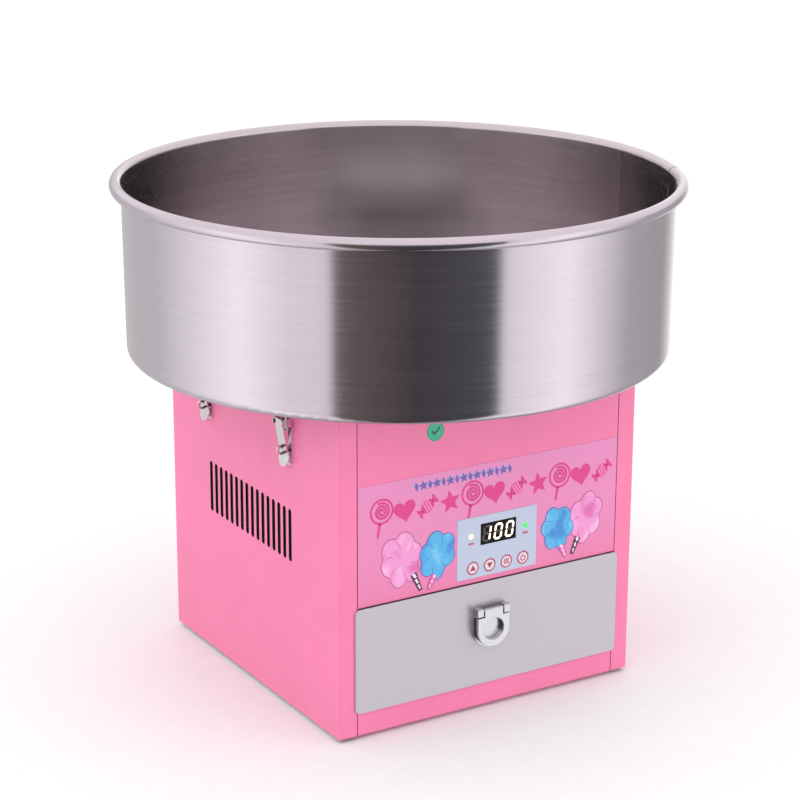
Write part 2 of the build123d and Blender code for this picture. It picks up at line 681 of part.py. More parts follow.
def rocker_frame():
    """The mains switch's frame, clipped into the back panel."""
    cx, cz = ROCKER_CENTRE
    w, h = ROCKER_OPENING
    flange = block(cx - w / 2 - 1.2, cx + w / 2 + 1.2, HALF_D, HALF_D + 2, cz - h / 2 - 1.2, cz + h / 2 + 1.2)
    flange = fillet(flange.edges().filter_by(Axis.Y), 1)
    body = block(cx - w / 2 + 0.2, cx + w / 2 - 0.2, HALF_D - 18, HALF_D + 1, cz - h / 2 + 0.2, cz + h / 2 - 0.2)
    well = block(cx - w / 2 + 1.4, cx + w / 2 - 1.4, HALF_D - 11, HALF_D + 4, cz - h / 2 + 1.2, cz + h / 2 - 1.2)
    tabs = [block(cx - 0.5 + dx, cx + 0.5 + dx, HALF_D - 26, HALF_D - 17, cz - 3, cz + 3) for dx in (-3, 3)]
    return flange + body + tabs - well


ROCKER_TILT = 9.0
ROCKER_TRUNNION = 2.0


def power_rocker():
    """The rocker key, at rest with its upper half pressed in."""
    cx, cz = ROCKER_CENTRE
    w, h = ROCKER_OPENING
    half = h / 2 - 2.0
    outline = Polyline(
        (0, ROCKER_PIVOT_Y - 4, cz - 5), (0, ROCKER_PIVOT_Y + 1, cz - half), (0, ROCKER_PIVOT_Y + 5.2, cz - half),
        (0, ROCKER_PIVOT_Y + 3.0, cz), (0, ROCKER_PIVOT_Y + 5.2, cz + half), (0, ROCKER_PIVOT_Y + 1, cz + half),
        (0, ROCKER_PIVOT_Y - 4, cz + 5), close=True,
    )
    key = extrude(make_face(outline), w / 2 - 1.7, dir=(1, 0, 0), both=True)
    key += rod_x(ROCKER_TRUNNION, -w / 2 + 1.5, w / 2 - 1.5, ROCKER_PIVOT_Y, cz)
    turned = Pos(0, ROCKER_PIVOT_Y, cz) * Rot(ROCKER_TILT, 0, 0) * Pos(0, -ROCKER_PIVOT_Y, -cz) * key
    return Pos(cx, 0, 0) * turned


WIRE_RADIUS = 1.4
WIRES = {
    "inlet to supply": [(100, 133, 158), (100, 126, 158), (100, 126, 172), (84, 120, 172), (84, 108, 166)],
    "supply to motor": [(64, 66, 140), (52, 70, 146), (44, 70, 160), (34, 58, 176), (31, 36, 190)],
    "supply to control board": [(64, 24, 140), (66, 4, 134), (66, -60, 132), (60, -110, 140), (40, -140, 160)],
    "supply to brushes": [(112, 44, 150), (112, 44, 240), (96, 30, 272), (60, 6, 278), (41, 0, 277)],
}


def wire(points):
    """One insulated wire along straight runs joined by arcs."""
    path = FilletPolyline(*points, radius=4)
    start = Plane(origin=path @ 0, z_dir=path % 0)
    return sweep(start * Circle(WIRE_RADIUS), path)


def wiring_harness():
    """The four main leads between the inlet, boards, motor and brushes."""
    return [wire(points) for points in WIRES.values()]


# ---- bowl ---------------------------------------------------------------------------------------
CATCH_OFFSET = 3.0
CATCH_DEPTH = 5.2
CATCH_HALF = 7.0
CATCH_RIVET_U = 13.0


def bowl_shell():
    """The bowl's whole sheet as one solid: collared centre hole, flat floor, near-upright wall and rolled rim."""
    half = BOWL_SHEET / 2
    floor = DECK + half
    roll = BOWL_ROLL_RADIUS - half
    roll_r = BOWL_WALL_RADIUS_HIGH - half + roll
    roll_z = BOWL_RIM_TOP - BOWL_ROLL_RADIUS
    collar = BOWL_HOLE_RADIUS + half
    corners = [
        (collar, 0, floor + BOWL_COLLAR_HEIGHT), (collar, 0, floor),
        (BOWL_WALL_RADIUS_LOW - half, 0, floor), (BOWL_WALL_RADIUS_HIGH - half, 0, roll_z),
    ]
    rise = FilletPolyline(*corners, radius=(3, BOWL_BEND_RADIUS - half))
    curl = Plane.XZ * CenterArc((roll_r, roll_z), roll, 180, -285)
    centreline = Wire([*rise.edges(), *curl.edges()])
    outline = centreline.offset_2d(half, kind=Kind.ARC, side=Side.BOTH, closed=True)
    return revolve(make_face(outline), Axis.Z)


def bowl_slice(shell, z0, z1):
    """The part of the bowl's sheet between two heights."""
    return shell & block(-BOWL_RIM_RADIUS - 1, BOWL_RIM_RADIUS + 1, -BOWL_RIM_RADIUS - 1, BOWL_RIM_RADIUS + 1, z0, z1)


def bowl_pan(shell):
    """The pressed bottom of the bowl, with the rivet holes of the four keepers."""
    rivets = [rod_z(LATCH_RIVET_RADIUS + RIVET_GAP, DECK - 3, DECK + 5, x, y) for x, y in CATCH_RIVET_PLACES]
    return bowl_slice(shell, DECK - 1, BOWL_PAN_TOP) - rivets


def bowl_wall(shell):
    """The rolled strip that is welded to the pan."""
    return bowl_slice(shell, BOWL_PAN_TOP, BOWL_WALL_TOP)


def bowl_rim(shell):
    """The curled bead along the top of the wall."""
    return bowl_slice(shell, BOWL_WALL_TOP, BOWL_RIM_TOP + 1)


CATCH_RIVET_PLACES = [
    (side * (HALF_W + CATCH_RIVET_U), y + across * 4)
    for side in (-1, 1) for y in LATCH_PLACES.values() for across in (-1, 1)
]


def catch(side, y):
    """A keeper riveted under the bowl: a flat tab, a leg and an upturned hook."""
    u = HALF_W + CATCH_OFFSET
    hook = u + CATCH_DEPTH
    keeper = block(u, u + 16, y - CATCH_HALF, y + CATCH_HALF, DECK - SHEET, DECK)
    keeper += block(u, u + SHEET, y - CATCH_HALF, y + CATCH_HALF, DECK - 12, DECK)
    keeper += block(u, hook, y - CATCH_HALF, y + CATCH_HALF, DECK - 12, DECK - 12 + SHEET)
    keeper += block(hook - SHEET, hook, y - CATCH_HALF, y + CATCH_HALF, DECK - 12, DECK - 7.5)
    keeper -= [rod_z(LATCH_RIVET_RADIUS + RIVET_GAP, DECK - 4, DECK + 4, u - CATCH_OFFSET + CATCH_RIVET_U, y + d)
               for d in (-4, 4)]
    return keeper if side > 0 else mirrored(keeper)


def bowl_catches():
    """The four keepers under the bowl."""
    return [catch(side, y) for side in (-1, 1) for y in LATCH_PLACES.values()]


def catch_rivets():
    """Two domed rivets through each keeper and the bowl's floor."""
    made = []
    for x, y in CATCH_RIVET_PLACES:
        dome = rod_z(3.0, DECK + BOWL_SHEET, DECK + BOWL_SHEET + 1.4, x, y)
        dome = fillet(dome.edges().filter_by(GeomType.CIRCLE).sort_by(Axis.Z)[-1], 1.2)
        shank = rod_z(LATCH_RIVET_RADIUS, DECK - SHEET - 0.5, DECK + BOWL_SHEET, x, y)
        tail = rod_z(2.4, DECK - SHEET - 1.2, DECK - SHEET, x, y)
        made.append(dome + shank + tail)
    return made


# ---- drawer -------------------------------------------------------------------------------------
HANDLE_X = -1.6
HANDLE_TOP = 100.6
HANDLE_CENTRE_Z = 80.2
HANDLE_RING_RADIUS = 17.0
HANDLE_HOLE_RADIUS = 10.4
HANDLE_RING_THICKNESS = 4.7
HANDLE_PLATE_THICKNESS = 3.4
HANDLE_PLATE_MARGIN = 1.4
HANDLE_GAP = 0.4
HANDLE_PIN_RADIUS = 1.2
HANDLE_NECK_HALF = 9.5
HANDLE_KNUCKLE = (10.9, 17.0)
HANDLE_KNUCKLE_LOW = 93.4
HANDLE_SHOULDER_GAP = 1.1
DRAWER_FACE = -HALF_D - FIT_GAP - DRAWER_FRONT_THICKNESS
HANDLE_BACK = DRAWER_FACE - HANDLE_PLATE_THICKNESS - HANDLE_GAP
HANDLE_FRONT = HANDLE_BACK - HANDLE_RING_THICKNESS
HANDLE_PIN_Y = (HANDLE_BACK + HANDLE_FRONT) / 2
HANDLE_PIN_Z = HANDLE_TOP - 2.65


def drawer_front():
    """The brushed face plate with rounded corners."""
    z_mid = (DRAWER_FRONT_LOW + DRAWER_FRONT_HIGH) / 2
    height = DRAWER_FRONT_HIGH - DRAWER_FRONT_LOW
    y_mid = DRAWER_FACE + DRAWER_FRONT_THICKNESS / 2
    plate = Pos(0, y_mid, z_mid) * Box(DRAWER_FRONT_WIDTH, DRAWER_FRONT_THICKNESS, height)
    plate = fillet(plate.edges().filter_by(Axis.Y), 5)
    plate = fillet(plate.faces().sort_by(Axis.Y)[0].edges(), 0.5)
    return plate


def drawer_box():
    """The folded tray behind the face plate, with a hem along each side's top edge."""
    half, low, high, rear = DRAWER_BOX
    front = -HALF_D - FIT_GAP
    outer = block(-half, half, front, rear, low, high)
    outer = fillet(outer.edges().filter_by(Axis.Z), 2)
    inner = block(-half + DRAWER_SHEET, half - DRAWER_SHEET, front + DRAWER_SHEET, rear - DRAWER_SHEET,
                  low + DRAWER_SHEET, high + 5)
    tray = outer - inner
    hems = [
        block(side * (half - 5) if side < 0 else half - 5 - DRAWER_SHEET,
              side * (half - 5) + DRAWER_SHEET if side < 0 else half - 5, front + 4, rear - 4, high - 5, high)
        + block(-half + 0.5 if side < 0 else half - 6, -half + 6 if side < 0 else half - 0.5,
                front + 4, rear - 4, high - DRAWER_SHEET, high)
        for side in (-1, 1)
    ]
    return tray + hems


def ring_outline(radius):
    """The pull's outline in the front plane: straight sides under the knuckles and a round foot."""
    straight = HANDLE_KNUCKLE_LOW - HANDLE_SHOULDER_GAP - HANDLE_CENTRE_Z
    foot = Circle(radius) - Pos(0, radius) * Rectangle(2 * radius, 2 * radius)
    return foot + Pos(0, straight / 2) * Rectangle(2 * radius, straight)


def handle_place(y):
    """The front plane at a depth, centred on the pull's ring."""
    return Plane(origin=(HANDLE_X, y, HANDLE_CENTRE_Z), x_dir=(1, 0, 0), z_dir=(0, -1, 0))


def handle_rod(radius, half):
    """A cylinder along the pull's hinge axis."""
    return rod_x(radius, HANDLE_X - half, HANDLE_X + half, HANDLE_PIN_Y, HANDLE_PIN_Z)


def handle_backplate():
    """The pull's seat: a plate of the ring's outline with a knuckle at each side."""
    inner, outer = HANDLE_KNUCKLE
    rise = HANDLE_KNUCKLE_LOW - HANDLE_CENTRE_Z + 4
    necks = [Pos(side * (inner + outer) / 2, rise / 2) * Rectangle(outer - inner, rise) for side in (-1, 1)]
    shape = ring_outline(HANDLE_RING_RADIUS + HANDLE_PLATE_MARGIN) + necks
    seat = extrude(handle_place(DRAWER_FACE) * shape, HANDLE_PLATE_THICKNESS)
    knuckle = block(inner, outer, HANDLE_FRONT, DRAWER_FACE, HANDLE_KNUCKLE_LOW, HANDLE_TOP)
    top = knuckle.edges().filter_by(Axis.X).group_by(Axis.Z)[-1]
    knuckle = fillet(top.sort_by(Axis.Y)[-1], 3.0)
    front = knuckle.edges().filter_by(Axis.X).group_by(Axis.Y)[0]
    knuckle = fillet(front, 0.5)
    knuckles = Pos(HANDLE_X, 0, 0) * (knuckle + mirrored(knuckle))
    return seat + knuckles - handle_rod(HANDLE_PIN_RADIUS, 30)


def handle_pin():
    """The hinge pin through both knuckles."""
    return handle_rod(HANDLE_PIN_RADIUS, HANDLE_KNUCKLE[1])


def handle_ring():
    """The thick pull ring with its neck round the pin."""
    ring = extrude(handle_place(HANDLE_BACK) * ring_outline(HANDLE_RING_RADIUS), HANDLE_RING_THICKNESS)
    neck = block(-HANDLE_NECK_HALF, HANDLE_NECK_HALF, HANDLE_FRONT, HANDLE_BACK,
                 HANDLE_CENTRE_Z + 5, HANDLE_PIN_Z)
    barrel = handle_rod(HANDLE_RING_THICKNESS / 2, HANDLE_NECK_HALF)
    hole = rod_y(HANDLE_HOLE_RADIUS, HANDLE_FRONT - 5, HANDLE_BACK + 5, HANDLE_X, HANDLE_CENTRE_Z)
    pull = ring + Pos(HANDLE_X, 0, 0) * neck + barrel - hole
    face = pull.faces().filter_by(Axis.Y).sort_by(Axis.Y)[0]
    pull = fillet(face.edges().filter_by(GeomType.CIRCLE), 0.6)
    return pull - handle_rod(HANDLE_PIN_RADIUS + SHAFT_GAP, 30)


# ---- latches: u is the distance out from the side wall, v runs along it ------------------------
PIVOT_U, PIVOT_Z = 7.0, 273.0
BAIL_U, BAIL_Z = 5.2, 267.6
BASE_HALF = 8.4
BASE_LOW, BASE_HIGH = 234.0, 291.0
EAR_THICKNESS = 1.0
EAR_RADIUS = 3.6
LEVER_HALF = 6.9
TAB_RADIUS = 8.7
TAB_Z = 241.0
STAPLE_U, STAPLE_Z = 6.8, 247.6
STAPLE_RADIUS = 4.4
STAPLE_HOLE = 2.2
PIVOT_RADIUS = 1.5
BAIL_WIRE = 1.0
BAIL_HALF = 9.9
BAIL_TOP_U, BAIL_TOP_Z = 9.8, 296.0


def on_side(shape, side, y):
    """Puts a latch piece, drawn with u along +X from x = 0, on the right or left wall."""
    if side > 0:
        return Pos(HALF_W, y, 0) * shape
    return Pos(-HALF_W, y, 0) * mirror(shape, Plane.YZ)


def latch_base():
    """The latch's plate with its pivot ears and the staple that stands through the lever."""
    plate = block(0, SHEET, -BASE_HALF, BASE_HALF, BASE_LOW, BASE_HIGH)
    plate = fillet(plate.edges().filter_by(Axis.X), 3)
    base = plate
    for side in (-1, 1):
        v0, v1 = sorted((side * BASE_HALF, side * (BASE_HALF - EAR_THICKNESS)))
        base += block(0, PIVOT_U, v0, v1, PIVOT_Z - EAR_RADIUS, PIVOT_Z + EAR_RADIUS)
        base += rod_y(EAR_RADIUS, v0, v1, PIVOT_U, PIVOT_Z)
    base += block(0, STAPLE_U - 3, -1, 1, STAPLE_Z - 3, STAPLE_Z + 3)
    base += rod_y(STAPLE_RADIUS, -1, 1, STAPLE_U, STAPLE_Z)
    base -= rod_y(STAPLE_HOLE, -5, 5, STAPLE_U, STAPLE_Z)
    base -= rod_y(PIVOT_RADIUS, -20, 20, PIVOT_U, PIVOT_Z)
    base -= [rod_x(LATCH_RIVET_RADIUS + RIVET_GAP, -5, 5, v, z)
             for v in (-LATCH_RIVET_OFFSET, LATCH_RIVET_OFFSET) for z in LATCH_RIVET_HEIGHTS]
    return base


def latch_pin():
    """The pivot pin, a little proud of the ears."""
    return rod_y(PIVOT_RADIUS, -BASE_HALF - 0.2, BASE_HALF + 0.2, PIVOT_U, PIVOT_Z)


def latch_lever():
    """The pressed lever: sloping face, round finger tab, side cheeks and the staple's slot."""
    face = make_face(Polyline(
        (9.8, 0, 276.2), (5.6, 0, 251), (3.9, 0, 243), (6.4, 0, 231.5), (5.2, 0, 231.5),
        (2.7, 0, 243), (4.4, 0, 251), (8.6, 0, 276.2), close=True,
    ))
    sheet = extrude(face, TAB_RADIUS, dir=(0, 1, 0), both=True)
    outline = block(0, 20, -LEVER_HALF, LEVER_HALF, TAB_Z, 280) + rod_x(TAB_RADIUS, 0, 20, 0, TAB_Z)
    lever = sheet & outline
    cheek_outline = make_face(Polyline(
        (9.3, 0, 276.2), (6.0, 0, 276.2), (3.2, 0, 274), (3.2, 0, 264.5), (4.2, 0, 254), (5.0, 0, 254), close=True,
    ))
    for side in (-1, 1):
        cheek = extrude(cheek_outline, EAR_THICKNESS, dir=(0, 1, 0))
        start = LEVER_HALF - EAR_THICKNESS if side > 0 else -LEVER_HALF
        lever += Pos(0, start, 0) * cheek
    lever -= block(0, 20, -1.5, 1.5, 242.6, 252.8)
    lever -= rod_y(PIVOT_RADIUS + SHAFT_GAP, -20, 20, PIVOT_U, PIVOT_Z)
    lever -= rod_y(BAIL_WIRE + SHAFT_GAP, -20, 20, BAIL_U, BAIL_Z)
    return lever


def latch_bail():
    """The wire bail: two inturned ends, two straight sides and the bar that takes the keeper."""
    ends = LEVER_HALF - EAR_THICKNESS - 1.2
    path = FilletPolyline(
        (BAIL_U, -ends, BAIL_Z), (BAIL_U, -BAIL_HALF, BAIL_Z), (BAIL_TOP_U, -BAIL_HALF, BAIL_TOP_Z),
        (BAIL_TOP_U, BAIL_HALF, BAIL_TOP_Z), (BAIL_U, BAIL_HALF, BAIL_Z), (BAIL_U, ends, BAIL_Z),
        radius=2,
    )
    start = Plane(origin=path @ 0, z_dir=path % 0)
    return sweep(start * Circle(BAIL_WIRE), path)


def latch_bases():
    """All four latch bases and their pivot pins."""
    made = []
    for side in (-1, 1):
        for y in LATCH_PLACES.values():
            made += [on_side(latch_base(), side, y), on_side(latch_pin(), side, y)]
    return made


# ---- every node ---------------------------------------------------------------------------------
def all_parts():
    """Every node's shape or list of shapes, by name."""
    left = left_side_panel()
    shell = bowl_shell()
    parts = {
        "base_tray": base_tray(), "left_side_panel": left, "right_side_panel": mirrored(left),
        "rear_panel": rear_panel(), "front_panel": front_panel(), "top_plate": top_plate(),
        "equipment_shelf": equipment_shelf(), "drawer_runners": drawer_runners(), "rubber_feet": rubber_feet(),
        "cabinet_fasteners": foot_fasteners() + panel_fasteners(), "shaft_shroud": shaft_shroud(),
        "motor_plate": motor_plate(), "standoffs": standoffs(),
        "motor_housing": motor_housing(), "shaft_bearings": shaft_bearings(), "brush_holders": brush_holders(),
        "carbon_brushes": carbon_brushes(), "control_board": control_board(), "display_module": display_module(),
        "indicator_leds": indicator_leds(), "graphic_overlay": graphic_overlay(),
        "keypad_overlay": keypad_overlay(), "power_board": power_board(), "power_inlet": power_inlet(),
        "rocker_frame": rocker_frame(), "power_rocker": power_rocker(), "wiring_harness": wiring_harness(),
        "latch_bases": latch_bases(), "motor_shaft": motor_shaft(), "motor_rotor": motor_rotor(),
        "motor_fan": motor_fan(), "slip_ring_hub": slip_ring_hub(), "slip_rings": slip_rings(),
        "head_pan": head_pan(), "heating_element": heating_element(), "mesh_band": mesh_band(),
        "head_lid": head_lid(), "head_screws": head_screws(), "bowl_pan": bowl_pan(shell),
        "bowl_wall": bowl_wall(shell), "bowl_rim": bowl_rim(shell), "bowl_catches": bowl_catches(),
        "catch_rivets": catch_rivets(), "drawer_box": drawer_box(), "drawer_front": drawer_front(),
        "handle_backplate": handle_backplate(), "handle_pin": handle_pin(), "handle_ring": handle_ring(),
    }
    for name, x in zip(BUTTON_NAMES, BUTTON_PLACES):
        parts[name] = button(x)
    for side, side_name in ((-1, "left"), (1, "right")):
        for place, y in LATCH_PLACES.items():
            parts[f"latch_lever_{side_name}_{place}"] = on_side(latch_lever(), side, y)
            parts[f"latch_bail_{side_name}_{place}"] = on_side(latch_bail(), side, y)
    return parts


def main():
    os.makedirs("parts", exist_ok=True)
    for name, shape in all_parts().items():
        whole = Compound(children=list(shape)) if isinstance(shape, list) else shape
        export_step(whole, f"parts/{name}.step")


main()
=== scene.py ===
"""Looks, lights and camera for the cotton candy machine.

Metres, in the CAD's frame: +Z up, front towards -Y.
"""
import bpy
from math import atan2, cos, hypot, pi, radians, sin
from mathutils import Matrix, Vector


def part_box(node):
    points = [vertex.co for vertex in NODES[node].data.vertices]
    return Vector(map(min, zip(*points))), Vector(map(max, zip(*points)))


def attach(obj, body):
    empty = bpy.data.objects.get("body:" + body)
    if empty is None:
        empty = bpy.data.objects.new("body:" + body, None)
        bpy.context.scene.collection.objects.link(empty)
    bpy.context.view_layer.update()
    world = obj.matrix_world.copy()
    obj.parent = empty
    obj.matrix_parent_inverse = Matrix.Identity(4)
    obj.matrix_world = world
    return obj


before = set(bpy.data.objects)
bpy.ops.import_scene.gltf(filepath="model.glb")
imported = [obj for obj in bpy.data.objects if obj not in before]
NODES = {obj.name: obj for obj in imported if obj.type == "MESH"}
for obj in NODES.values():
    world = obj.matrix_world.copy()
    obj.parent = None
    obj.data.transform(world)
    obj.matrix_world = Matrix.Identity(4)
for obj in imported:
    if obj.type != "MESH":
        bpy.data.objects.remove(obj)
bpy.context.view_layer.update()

VENT_LOW, VENT_HIGH = 0.140, 0.195    # the side vents lie between these heights
VENT_REACH = 0.09                     # and within this distance of the middle, along Y
TURNS_PER_RADIAN = 0.15915


# ---- node helpers --------------------------------------------------------------------------------
class Graph:
    """A small wrapper round a node tree."""

    def __init__(self, tree):
        self.tree = tree

    def add(self, kind, **settings):
        node = self.tree.nodes.new(kind)
        for key, value in settings.items():
            setattr(node, key, value)
        return node

    def link(self, source, target):
        self.tree.links.new(source, target)

    def feed(self, socket, value):
        if isinstance(value, bpy.types.NodeSocket):
            self.link(value, socket)
        else:
            socket.default_value = value

    def math(self, operation, *values, clamp=False):
        node = self.add("ShaderNodeMath", operation=operation, use_clamp=clamp)
        for socket, value in zip(node.inputs, values):
            self.feed(socket, value)
        return node.outputs[0]

    def ramp(self, factor, stops, mode="LINEAR"):
        node = self.add("ShaderNodeValToRGB")
        node.color_ramp.interpolation = mode
        elements = node.color_ramp.elements
        while len(elements) < len(stops):
            elements.new(0.5)
        for element, (place, colour) in zip(elements, stops):
            element.position = place
            element.color = (*colour, 1) if len(colour) == 3 else colour
        self.feed(node.inputs[0], factor)
        return node.outputs[0]

    def grey_ramp(self, factor, stops, mode="LINEAR"):
        return self.ramp(factor, [(place, (v, v, v)) for place, v in stops], mode)

    def mix(self, factor, a, b, blend="MIX"):
        node = self.add("ShaderNodeMix", data_type="RGBA", blend_type=blend)
        self.feed(node.inputs[0], factor)
        self.feed(node.inputs[6], a)
        self.feed(node.inputs[7], b)
        return node.outputs[2]

    def scaled(self, x, y, z):
        coords = self.add("ShaderNodeTexCoord")
        mapping = self.add("ShaderNodeMapping")
        mapping.inputs["Scale"].default_value = (x, y, z)
        self.link(coords.outputs["Object"], mapping.inputs["Vector"])
        return mapping.outputs[0]

    def noise(self, vector, scale=1.0, detail=2.0, rough=0.5):
        node = self.add("ShaderNodeTexNoise")
        node.inputs["Scale"].default_value = scale
        node.inputs["Detail"].default_value = detail
        node.inputs["Roughness"].default_value = rough
        self.link(vector, node.inputs["Vector"])
        return node.outputs[0]

    def bump(self, height, strength, distance):
        node = self.add("ShaderNodeBump")
        node.inputs["Strength"].default_value = strength
        node.inputs["Distance"].default_value = distance
        self.link(height, node.inputs["Height"])
        return node.outputs[0]


def rgba(r, g, b):
    return (r, g, b, 1.0)


def srgb(r, g, b):
    """A linear colour from 0-255 display values."""
    def one(v):
        v /= 255
        return v / 12.92 if v <= 0.04045 else ((v + 0.055) / 1.055) ** 2.4
    return rgba(one(r), one(g), one(b))


def new_material(name):
    material = bpy.data.materials.new(name)
    material.use_nodes = True
    graph = Graph(material.node_tree)
    return material, graph, material.node_tree.nodes["Principled BSDF"]


# ---- camera --------------------------------------------------------------------------------------
CAMERA_PLACE = Vector((-1.0823, -1.7734, 0.8999))
CAMERA_YAW, CAMERA_PITCH, CAMERA_ROLL = radians(31.447), radians(17.42), radians(0.231)


def make_camera():
    data = bpy.data.cameras.new("camera")
    data.sensor_width = 36.0
    data.lens = 105.5
    data.clip_end = 100.0
    camera = bpy.data.objects.new("camera", data)
    flat = cos(CAMERA_PITCH)
    forward = Vector((sin(CAMERA_YAW) * flat, cos(CAMERA_YAW) * flat, -sin(CAMERA_PITCH)))
    level = Vector((cos(CAMERA_YAW), -sin(CAMERA_YAW), 0))
    above = level.cross(forward)
    right = level * cos(CAMERA_ROLL) + above * sin(CAMERA_ROLL)
    up = above * cos(CAMERA_ROLL) - level * sin(CAMERA_ROLL)
    axes = Matrix((right, up, -forward)).transposed().to_4x4()
    camera.matrix_world = Matrix.Translation(CAMERA_PLACE) @ axes
    bpy.context.scene.collection.objects.link(camera)
    bpy.context.scene.camera = camera


# ---- studio --------------------------------------------------------------------------------------
def make_world():
    """A plain studio: two broad soft boxes with one dim gap between them, and a pale ceiling.

    Each stop of the ring is a bearing in degrees and its brightness there.
    """
    def at(degrees):
        return degrees / 360 + 0.5

    strength = 1.5
    world = bpy.data.worlds.new("studio")
    world.use_nodes = True
    bpy.context.scene.world = world
    g = Graph(world.node_tree)
    g.tree.nodes.clear()
    out = g.add("ShaderNodeOutputWorld")
    coords = g.add("ShaderNodeTexCoord")
    turned = g.add("ShaderNodeVectorRotate", rotation_type="Z_AXIS")
    turned.inputs["Angle"].default_value = radians(121.4)
    g.link(coords.outputs["Generated"], turned.inputs["Vector"])
    parts = g.add("ShaderNodeSeparateXYZ")
    g.link(turned.outputs[0], parts.inputs[0])
    angle = g.math("ARCTAN2", parts.outputs[1], parts.outputs[0])
    place = g.math("MULTIPLY_ADD", angle, TURNS_PER_RADIAN, 0.5)
    left_box = [(-170, 0.6), (-118, 0.72), (-68, 1.38), (-45, 1.02), (-27.5, 0.98)]
    gap = [(-26, (0.17, 0.14, 0.125)), (8, (0.06, 0.055, 0.06)), (40.5, (0.09, 0.095, 0.115))]
    right_box = [(43.5, 1.0), (73, 1.36), (110, 0.56), (142, 0.45), (170, 1.2)]
    stops = [(d, (v, v, v)) for d, v in left_box] + gap + [(d, (v, v, v)) for d, v in right_box]
    ring = g.ramp(place, [(at(d), scaled_colour(colour, 1 / strength)) for d, colour in stops])
    ceiling = g.grey_ramp(parts.outputs[2], [(0.08, 0.0), (0.3, 1.0)])
    upward = g.mix(ceiling, ring, rgba(0.72, 0.68, 0.69))
    below = g.grey_ramp(g.math("MULTIPLY", parts.outputs[2], -1.0), [(0.8, 1.0), (1.0, 0.45)])
    seen = g.mix(1.0, upward, below, "MULTIPLY")
    light = g.add("ShaderNodeLightPath")
    soft = g.grey_ramp(parts.outputs[2], [(0.0, 0.42), (0.5, 0.64), (1.0, 1.05)])
    by_kind = g.mix(light.outputs["Is Glossy Ray"], soft, seen)
    whole = g.mix(light.outputs["Is Camera Ray"], by_kind, rgba(0.72, 0.72, 0.72))
    background = g.add("ShaderNodeBackground")
    background.inputs["Strength"].default_value = strength
    g.link(whole, background.inputs["Color"])
    g.link(background.outputs[0], out.inputs["Surface"])


def floor_material():
    material, g, shader = new_material("pale_floor")
    grain = g.noise(g.scaled(1, 1, 1), 60, 3)
    g.link(g.ramp(grain, [(0.3, (0.88, 0.88, 0.88)), (0.7, (0.9, 0.9, 0.9))]), shader.inputs["Base Color"])
    shader.inputs["Roughness"].default_value = 0.85
    return material


def disc_mesh(name, inner, outer, steps=96):
    ring = [(cos(radians(360 * i / steps)), sin(radians(360 * i / steps))) for i in range(steps)]
    points = [(c * outer, s * outer, 0) for c, s in ring]
    if inner:
        points += [(c * inner, s * inner, 0) for c, s in ring]
        faces = [(i, (i + 1) % steps, steps + (i + 1) % steps, steps + i) for i in range(steps)]
    else:
        faces = [tuple(range(steps))]
    mesh = bpy.data.meshes.new(name)
    mesh.from_pydata(points, [], faces)
    return mesh


def make_floor():
    material = floor_material()
    for name, inner, outer in (("floor_near", 0, 0.9), ("floor_far", 0.9, 12.0)):
        mesh = disc_mesh(name, inner, outer)
        mesh.materials.append(material)
        floor = bpy.data.objects.new(name, mesh)
        bpy.context.scene.collection.objects.link(floor)
        floor.visible_glossy = False


def make_light(name, place, aim, size, energy):
    data = bpy.data.lights.new(name, "AREA")
    data.shape = "RECTANGLE"
    data.size, data.size_y = size
    data.energy = energy
    light = bpy.data.objects.new(name, data)
    light.location = place
    light.rotation_euler = (Vector(aim) - Vector(place)).to_track_quat("-Z", "Y").to_euler()
    light.visible_glossy = False
    bpy.context.scene.collection.objects.link(light)


def make_lights():
    make_light("softbox", (-2.2, -0.3, 1.7), (0, 0, 0.25), (1.6, 1.2), 9)
    make_light("front_fill", (1.5, -1.6, 0.4), (0, -0.1, 0.25), (1.4, 0.8), 5)


# ---- materials -----------------------------------------------------------------------------------
def scaled_colour(colour, k):
    return tuple(min(1.0, c * k) for c in colour[:3])


def brushed_steel(name, colour, roughness, stretch, anisotropy, lines=0.00002, radial=False, spread=0.1):
    """Steel with fine brush lines: stretch is how tightly the lines pack along each axis."""
    material, g, shader = new_material(name)
    fine = g.noise(g.scaled(*stretch), 1.0, 4, 0.7)
    coarse = g.noise(g.scaled(*[s * 0.12 for s in stretch]), 1.0, 2, 0.6)
    cloud = g.noise(g.scaled(1, 1, 1), 9, 3, 0.6)
    both = g.math("MULTIPLY_ADD", fine, 0.65, g.math("MULTIPLY", coarse, 0.35))
    tone = g.math("MULTIPLY_ADD", cloud, 0.3, g.math("MULTIPLY", both, 0.7))
    dark, light = scaled_colour(colour, 1 - spread), scaled_colour(colour, 1 + 0.6 * spread)
    g.link(g.ramp(tone, [(0.34, dark), (0.66, light)]), shader.inputs["Base Color"])
    low, high = roughness
    g.link(g.grey_ramp(tone, [(0.34, low), (0.66, high)]), shader.inputs["Roughness"])
    shader.inputs["Metallic"].default_value = 1.0
    shader.inputs["Anisotropic"].default_value = anisotropy
    if radial:
        shader.inputs["Anisotropic Rotation"].default_value = 0.25
        tangent = g.add("ShaderNodeTangent", direction_type="RADIAL", axis="Z")
        g.link(tangent.outputs[0], shader.inputs["Tangent"])
    g.link(g.bump(both, 0.5, lines), shader.inputs["Normal"])
    return material


